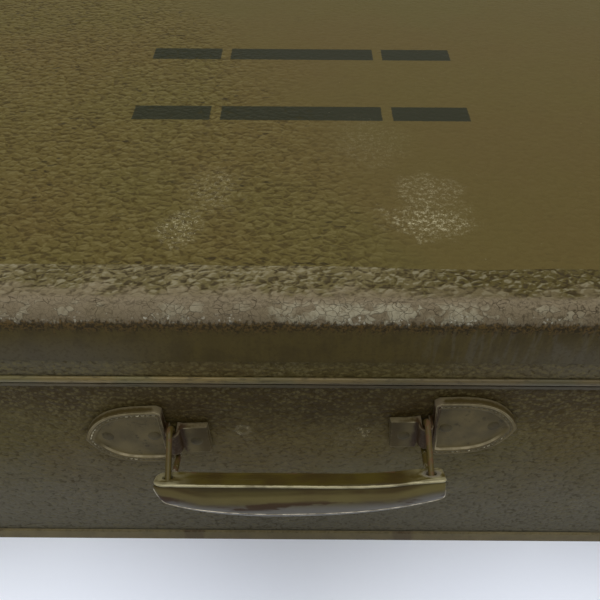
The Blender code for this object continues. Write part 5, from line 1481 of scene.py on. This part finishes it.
def sagged(made, grip):
    """Bends a piece of the grip down along its length. The underside of the belly stays where it is."""
    back = grip.inverted()
    for vertex in made.data.vertices:
        point = back @ vertex.co
        share = min(max(-point.z / grip_depth(point.x), 0.0), 1.0)
        point.z -= grip_sag(point.x) * (1 - share)
        vertex.co = grip @ point


def belly_point(x, turn, out=0.0):
    """A place on the belly, from its back edge (turn 0) under the grip to its front edge (turn 1)."""
    half_x, half_y = GRIP_LENGTH / 2 - GRIP_BELLY_INSET, GRIP_WIDTH / 2 - GRIP_BELLY_INSET
    sign = 1 if x > 0 else -1
    from_end = half_x - abs(x)
    rounding = min(from_end / 0.0030, 1.0)
    least = GRIP_END_DRAW[sign]
    draw = least + (1 - least) * math.sqrt(1 - (1 - rounding) ** 2)
    depth = grip_depth(x) * draw
    lean = GRIP_END_LEAN[sign] * max(1 - from_end / 0.022, 0.0) ** 1.5
    angle = turn * math.pi
    across = math.copysign(abs(math.cos(angle)) ** 0.75, math.cos(angle)) * half_y * draw
    down = depth * max(math.sin(angle), 0.0) ** 0.75
    groove = math.exp(-((turn - SEAM_TURN) / 0.014) ** 2) * 0.00055
    down += out - groove
    return Vector((x - sign * lean * max(down / depth, 0.0) ** 1.2, across, -down - CLEARANCE))


def grip_belly_piece(grip, swing, steel, lip_paint, dark_paint):
    """The hollow pressed belly, with a seam and a lip along its lowest edge: the seam's dark wire is painted shade in
    its groove, and the lip's pale metal is partly a painted highlight.
    """
    half_x = GRIP_LENGTH / 2 - GRIP_BELLY_INSET
    places = [-math.cos(a) * half_x for a in steps_between(0.0, math.pi, BELLY_SECTIONS)]
    rise = Vector((0, 0, 0.0001))
    rows = []
    for x in places:
        row = [belly_point(x, turn) for turn in steps_between(0.0, 1.0, BELLY_TURNS)]
        rows.append([row[0] + rise] + row + [row[-1] + rise])
    belly = solid("grip_belly", capped(rows), grip)
    half = RING_BAR_LENGTH / 2
    outer_half = half - RING_REACH * math.tan(RING_TAPER)
    cutters = []
    for side in (-1, 1):
        x = side * RING_SPACING / 2
        for sign in (-1, 1):
            leg = ((half, 0.0), (outer_half, RING_REACH), (outer_half * 0.8, RING_REACH + 0.004))
            path = [swing @ Vector((x, sign * up, out)) for up, out in leg]
            cutters.append(solid("hole", tube(path, GRIP_HOLE_RADIUS, 24)))
    carved(belly, cutters)
    sagged(belly, grip)
    finished(belly, steel, "handle", ["grip_body"])

    aside = Vector((0.0001, 0, 0))
    lip = [belly_point(places[0], turn) - aside for turn in steps_between(0.98, LIP_TURN, 14)]
    lip += [belly_point(x, LIP_TURN, 0.00005) for x in places[1:-1]]
    lip += [belly_point(places[-1], turn) + aside for turn in steps_between(LIP_TURN, 0.90, 10)]
    seam = [belly_point(x, SEAM_TURN, 0.00012) for x in places[2:-2]]
    for name, path, radius, paint in (
        ("grip_lip", lip, LIP_WIRE_RADIUS, lip_paint), ("grip_seam", seam, SEAM_WIRE_RADIUS, dark_paint),
    ):
        made = solid(name, tube(path, radius, 10), grip)
        sagged(made, grip)
        finished(made, paint, "handle")


# Corner caps
def corner_columns(corner, reach):
    """Places round one corner of the case and a reach along both of its sides."""
    def shares(number):
        side_length = 2 * (HALF_WIDTH if number % 2 == 0 else HALF_DEPTH) - 2 * CORNER_RADIUS
        return [i / CAP_SIDE_STEPS * reach / side_length for i in range(1, CAP_SIDE_STEPS + 1)]
    columns = [((corner - 1) % 4, False, 1 - share) for share in shares(corner - 1)[::-1]]
    columns += [(corner, True, i / CORNER_STEPS) for i in range(CORNER_STEPS + 1)]
    return columns + [(corner, False, share) for share in shares(corner)]


def cap_profile(top, side, out, edge_radius, reach, drop):
    """The cap's section as (inset, height), from the flat face over the edge and down the wall."""
    wall = [(-out, top - side * down) for down in steps_between(edge_radius, drop, 14)]
    if not edge_radius:
        return wall
    flat = [(inset, top + side * out) for inset in steps_between(reach, edge_radius, 16)[:-1]]
    return flat + edge_turn(edge_radius, top, side, out) + wall[1:]


def corner_cap(name, corner, top, side, near, edge_radius, drop, leather, thread, body):
    """A leather cap over a corner of the case, trimmed to a round edge, with its stitches."""
    sx, sy = CORNERS[corner]
    out = near + CAP_THICKNESS
    outer, inner = (cap_profile(top, side, level, edge_radius, CAP_REACH + CAP_SPARE, drop) for level in (out, near))
    columns = corner_columns(corner, CAP_REACH + CAP_SIDE_SPARE)
    made = solid(name, sheet_of(band_rows(columns, outer + inner[::-1]), close_rows=True))
    fill_ends(made)
    centre = Vector((sx * (HALF_WIDTH - CAP_CENTRE_INSET), sy * (HALF_DEPTH - CAP_CENTRE_INSET),
                     top - side * CAP_CENTRE_INSET))
    ball = [
        [centre + CAP_REACH * Vector((math.sin(t) * math.cos(a), math.sin(t) * math.sin(a), math.cos(t)))
         for a in full_turn(72)]
        for t in steps_between(0.02, math.pi - 0.02, 40)
    ]
    carved(made, [solid("ball", capped(ball))], operation="INTERSECT")
    bevelled(made, CAP_BEVEL)
    finished(made, leather, body, [name.replace("leather_", "")])
    seams = cap_seams(corner, centre, top, side, out, edge_radius, drop)
    piece(name + "_stitches", seams, thread, body)


def cap_seams(corner, centre, top, side, out, edge_radius, drop):
    """Rows of stitches near the cap's round edge: on both walls and, where it has one, on its flat face."""
    sx, sy = CORNERS[corner]
    reach = CAP_REACH - CAP_SEAM_INSET
    turns = [(reach * math.cos(a), reach * math.sin(a)) for a in steps_between(0.0, math.pi / 2, 60)]
    least_drop = max(edge_radius, 0.002) + 0.001

    def on_wall(point, from_corner):
        below = abs(top - point.z)
        return least_drop <= below <= drop - 0.002 and from_corner >= CORNER_RADIUS + 0.001
    along_width = [Vector((centre.x - sx * u, sy * (HALF_DEPTH + out), centre.z - side * v)) for u, v in turns]
    along_depth = [Vector((sx * (HALF_WIDTH + out), centre.y - sy * u, centre.z - side * v)) for u, v in turns]
    paths = [
        ([p for p in along_width if on_wall(p, HALF_WIDTH - abs(p.x))], Vector((0, sy, 0))),
        ([p for p in along_depth if on_wall(p, HALF_DEPTH - abs(p.y))], Vector((sx, 0, 0))),
    ]
    if edge_radius:
        on_face = [Vector((centre.x - sx * u, centre.y - sy * v, top + side * out)) for u, v in turns]
        insets = [min(HALF_WIDTH - abs(p.x), HALF_DEPTH - abs(p.y)) for p in on_face]
        path = [p for p, inset in zip(on_face, insets) if inset >= edge_radius + 0.001]
        paths.append((path, Vector((0, 0, side))))
    return joined([stitches_along(path, normal, *CAP_STITCHES) for path, normal in paths if len(path) > 4])


def fill_ends(made):
    """Closes the open ends of a band that doesn't run all the way round."""
    work = bmesh.new()
    work.from_mesh(made.data)
    rims = [edge for edge in work.edges if edge.is_boundary]
    bmesh.ops.holes_fill(work, edges=rims)
    bmesh.ops.recalc_face_normals(work, faces=work.faces)
    work.to_mesh(made.data)
    work.free()


def bevelled(made, width):
    step = made.modifiers.new("bevel", "BEVEL")
    step.width = width
    step.segments = 2
    step.limit_method = "ANGLE"
    step.angle_limit = BEVEL_ANGLE
    step.harden_normals = True


def corner_caps(leather, thread):
    lid_near = CLEARANCE + BINDING_THICKNESS + CLEARANCE
    base_near = CLEARANCE + FLOOR_BINDING_THICKNESS + CLEARANCE
    lid_drop = CASE_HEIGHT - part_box("lid_cap_front_left")[0].z
    for corner, (sx, sy) in enumerate(CORNERS):
        place = ("rear" if sy > 0 else "front") + ("_right" if sx > 0 else "_left")
        for part, body, top, side, near, edge_radius, drop in (
            ("lid", "lid", CASE_HEIGHT, 1, lid_near, TOP_EDGE_RADIUS, lid_drop),
            ("base", "case_base", 0.0, -1, base_near, 0.0, CAP_REACH),
        ):
            name = f"leather_{part}_cap_{place}"
            corner_cap(name, corner, top, side, near, edge_radius, drop, leather, thread, body)


def stage():
    """A pale floor, soft light from above, a pale room and the photograph's camera."""
    finish = Finish("floor")
    patchy = finish.cloud(0.25, 3.0).rise(0.3, 0.7)
    finish.colour = finish.mix(patchy, srgb(0.93, 0.94, 0.975), srgb(0.95, 0.958, 0.985))
    finish.raised(finish.cloud(0.012, 3.0), 0.0006, 0.4)
    material = finish.done(0.7)
    far = (finish.x ** 2.0 + finish.y ** 2.0) ** 0.5
    finish.feed(finish.shader, {"Alpha": far.rise(FLOOR_FADE_END, FLOOR_FADE_START)})
    mesh = bpy.data.meshes.new("floor")
    mesh.from_pydata([(sx * FLOOR_REACH, sy * FLOOR_REACH, 0) for sx, sy in FLOOR_CORNERS], [], [(0, 1, 2, 3)])
    mesh.materials.append(material)
    linked("floor", mesh)

    lamp("sky_panel", (0.0, -0.20, 2.6), (0, 0, 0), size=3.0, power=106.0, colour=(0.94, 0.97, 1.0))
    lamp("rear_panel", (0.35, 1.8, 2.5), (-38, 0, -11), size=0.9, power=13.0, colour=(0.98, 0.985, 1.0))
    room()
    bpy.context.scene.view_settings.view_transform = "Standard"

    camera = bpy.data.cameras.new("camera")
    camera.sensor_width = SENSOR_WIDTH
    camera.lens = SENSOR_WIDTH * FOCAL_PIXELS / PHOTO_WIDTH_PIXELS
    camera.clip_start = 0.01
    eye = linked("camera", camera)
    eye.location = CAMERA_PLACE
    turn = Euler((math.pi / 2 - CAMERA_PITCH, 0.0, 0.0)).to_matrix() @ Matrix.Rotation(CAMERA_ROLL, 3, "Z")
    eye.rotation_euler = turn.to_euler()
    bpy.context.scene.camera = eye


def room():
    """A soft light from all sides, which looks pale behind the floor and in gloss."""
    world = bpy.data.worlds.new("room")
    bpy.context.scene.world = world
    world.use_nodes = True
    nodes = Nodes(world.node_tree)
    soft = nodes.tree.nodes["Background"]
    nodes.feed(soft, {"Color": (0.90, 0.94, 1.0, 1.0), "Strength": 0.20})
    pale = nodes.node("ShaderNodeBackground", inputs={"Color": (0.80, 0.82, 0.86, 1.0)})
    path = nodes.node("ShaderNodeLightPath")
    seen = path.outputs["Is Camera Ray"]
    for kind in ("Is Glossy Ray", "Is Transmission Ray"):
        seen = nodes.maths("MAXIMUM", seen, path.outputs[kind])
    choose = nodes.node("ShaderNodeMixShader", inputs={0: seen, 1: soft.outputs[0], 2: pale.outputs[0]})
    nodes.feed(nodes.tree.nodes["World Output"], {"Surface": choose.outputs[0]})


def lamp(name, place, degrees, size, power, colour):
    """A square light, which shines down before it is turned."""
    light = bpy.data.lights.new(name, "AREA")
    light.shape = "SQUARE"
    light.size = size
    light.energy = power
    light.color = colour
    made = linked(name, light)
    made.location = place
    made.rotation_euler = [math.radians(turn) for turn in degrees]


def refinish(nodes, material):
    """Gives nodes of the frame their finish."""
    for name in nodes:
        coated(frame["nodes"][name].data, material)


def named(*starts):
    """Nodes of the frame whose names start so."""
    return [name for start in starts for name in frame["nodes"] if name.startswith(start)]


def main():
    stage()
    cloth_lid = olive_cloth("olive_cloth_lid", True)
    cloth_base = olive_cloth("olive_cloth_base", False)
    binding = worn_binding()
    leather = handle_leather()
    thread = stitch_thread()
    rail = rail_finish()
    brass = latch_metal()
    steel = bare_steel()
    shells(cloth_lid, cloth_base)
    lid_binding(binding)
    rails(rail)
    floor_binding(leather)
    on_wall, swing, grip, out = handle_frames()
    handle_leathers(on_wall, out, leather, thread, handle_leather("rivet_paint", RIVET_OLIVE, 0.05))
    rings(swing, ring_wire())
    grip_plate_piece(grip, grip_enamel(grip))
    # The lip's pale metal is partly a painted highlight; the seam's dark wire is painted shade in its groove.
    grip_belly_piece(grip, swing, belly_enamel(grip), grip_wire_finish("lip_metal_and_highlight", BARE_METAL_AND_GLINT),
                     grip_wire_finish("seam_shade", DARK_RUST_AND_SHADE, 0.0))
    corner_caps(handle_leather("cap_leather", CAP_BROWN), thread)
    refinish(["base_lining", "lid_lining"], lining_cloth())
    refinish(named("latch_case", "latch_rivets", "latch_button", "hasp_left", "hasp_right", "hasp_bracket",
                   "hasp_rivets", "hinge_leaf", "hinge_rivets"), brass)
    for name in named("latch_case", "latch_button", "hasp_left", "hasp_right", "hasp_bracket"):
        bevelled(frame["nodes"][name], LATCH_BEVEL)
    for name in named("hinge_leaf"):
        bevelled(frame["nodes"][name], HINGE_BEVEL)
    refinish(named("latch_bolt", "latch_spring", "hasp_pin", "hinge_pin"), steel)


main()
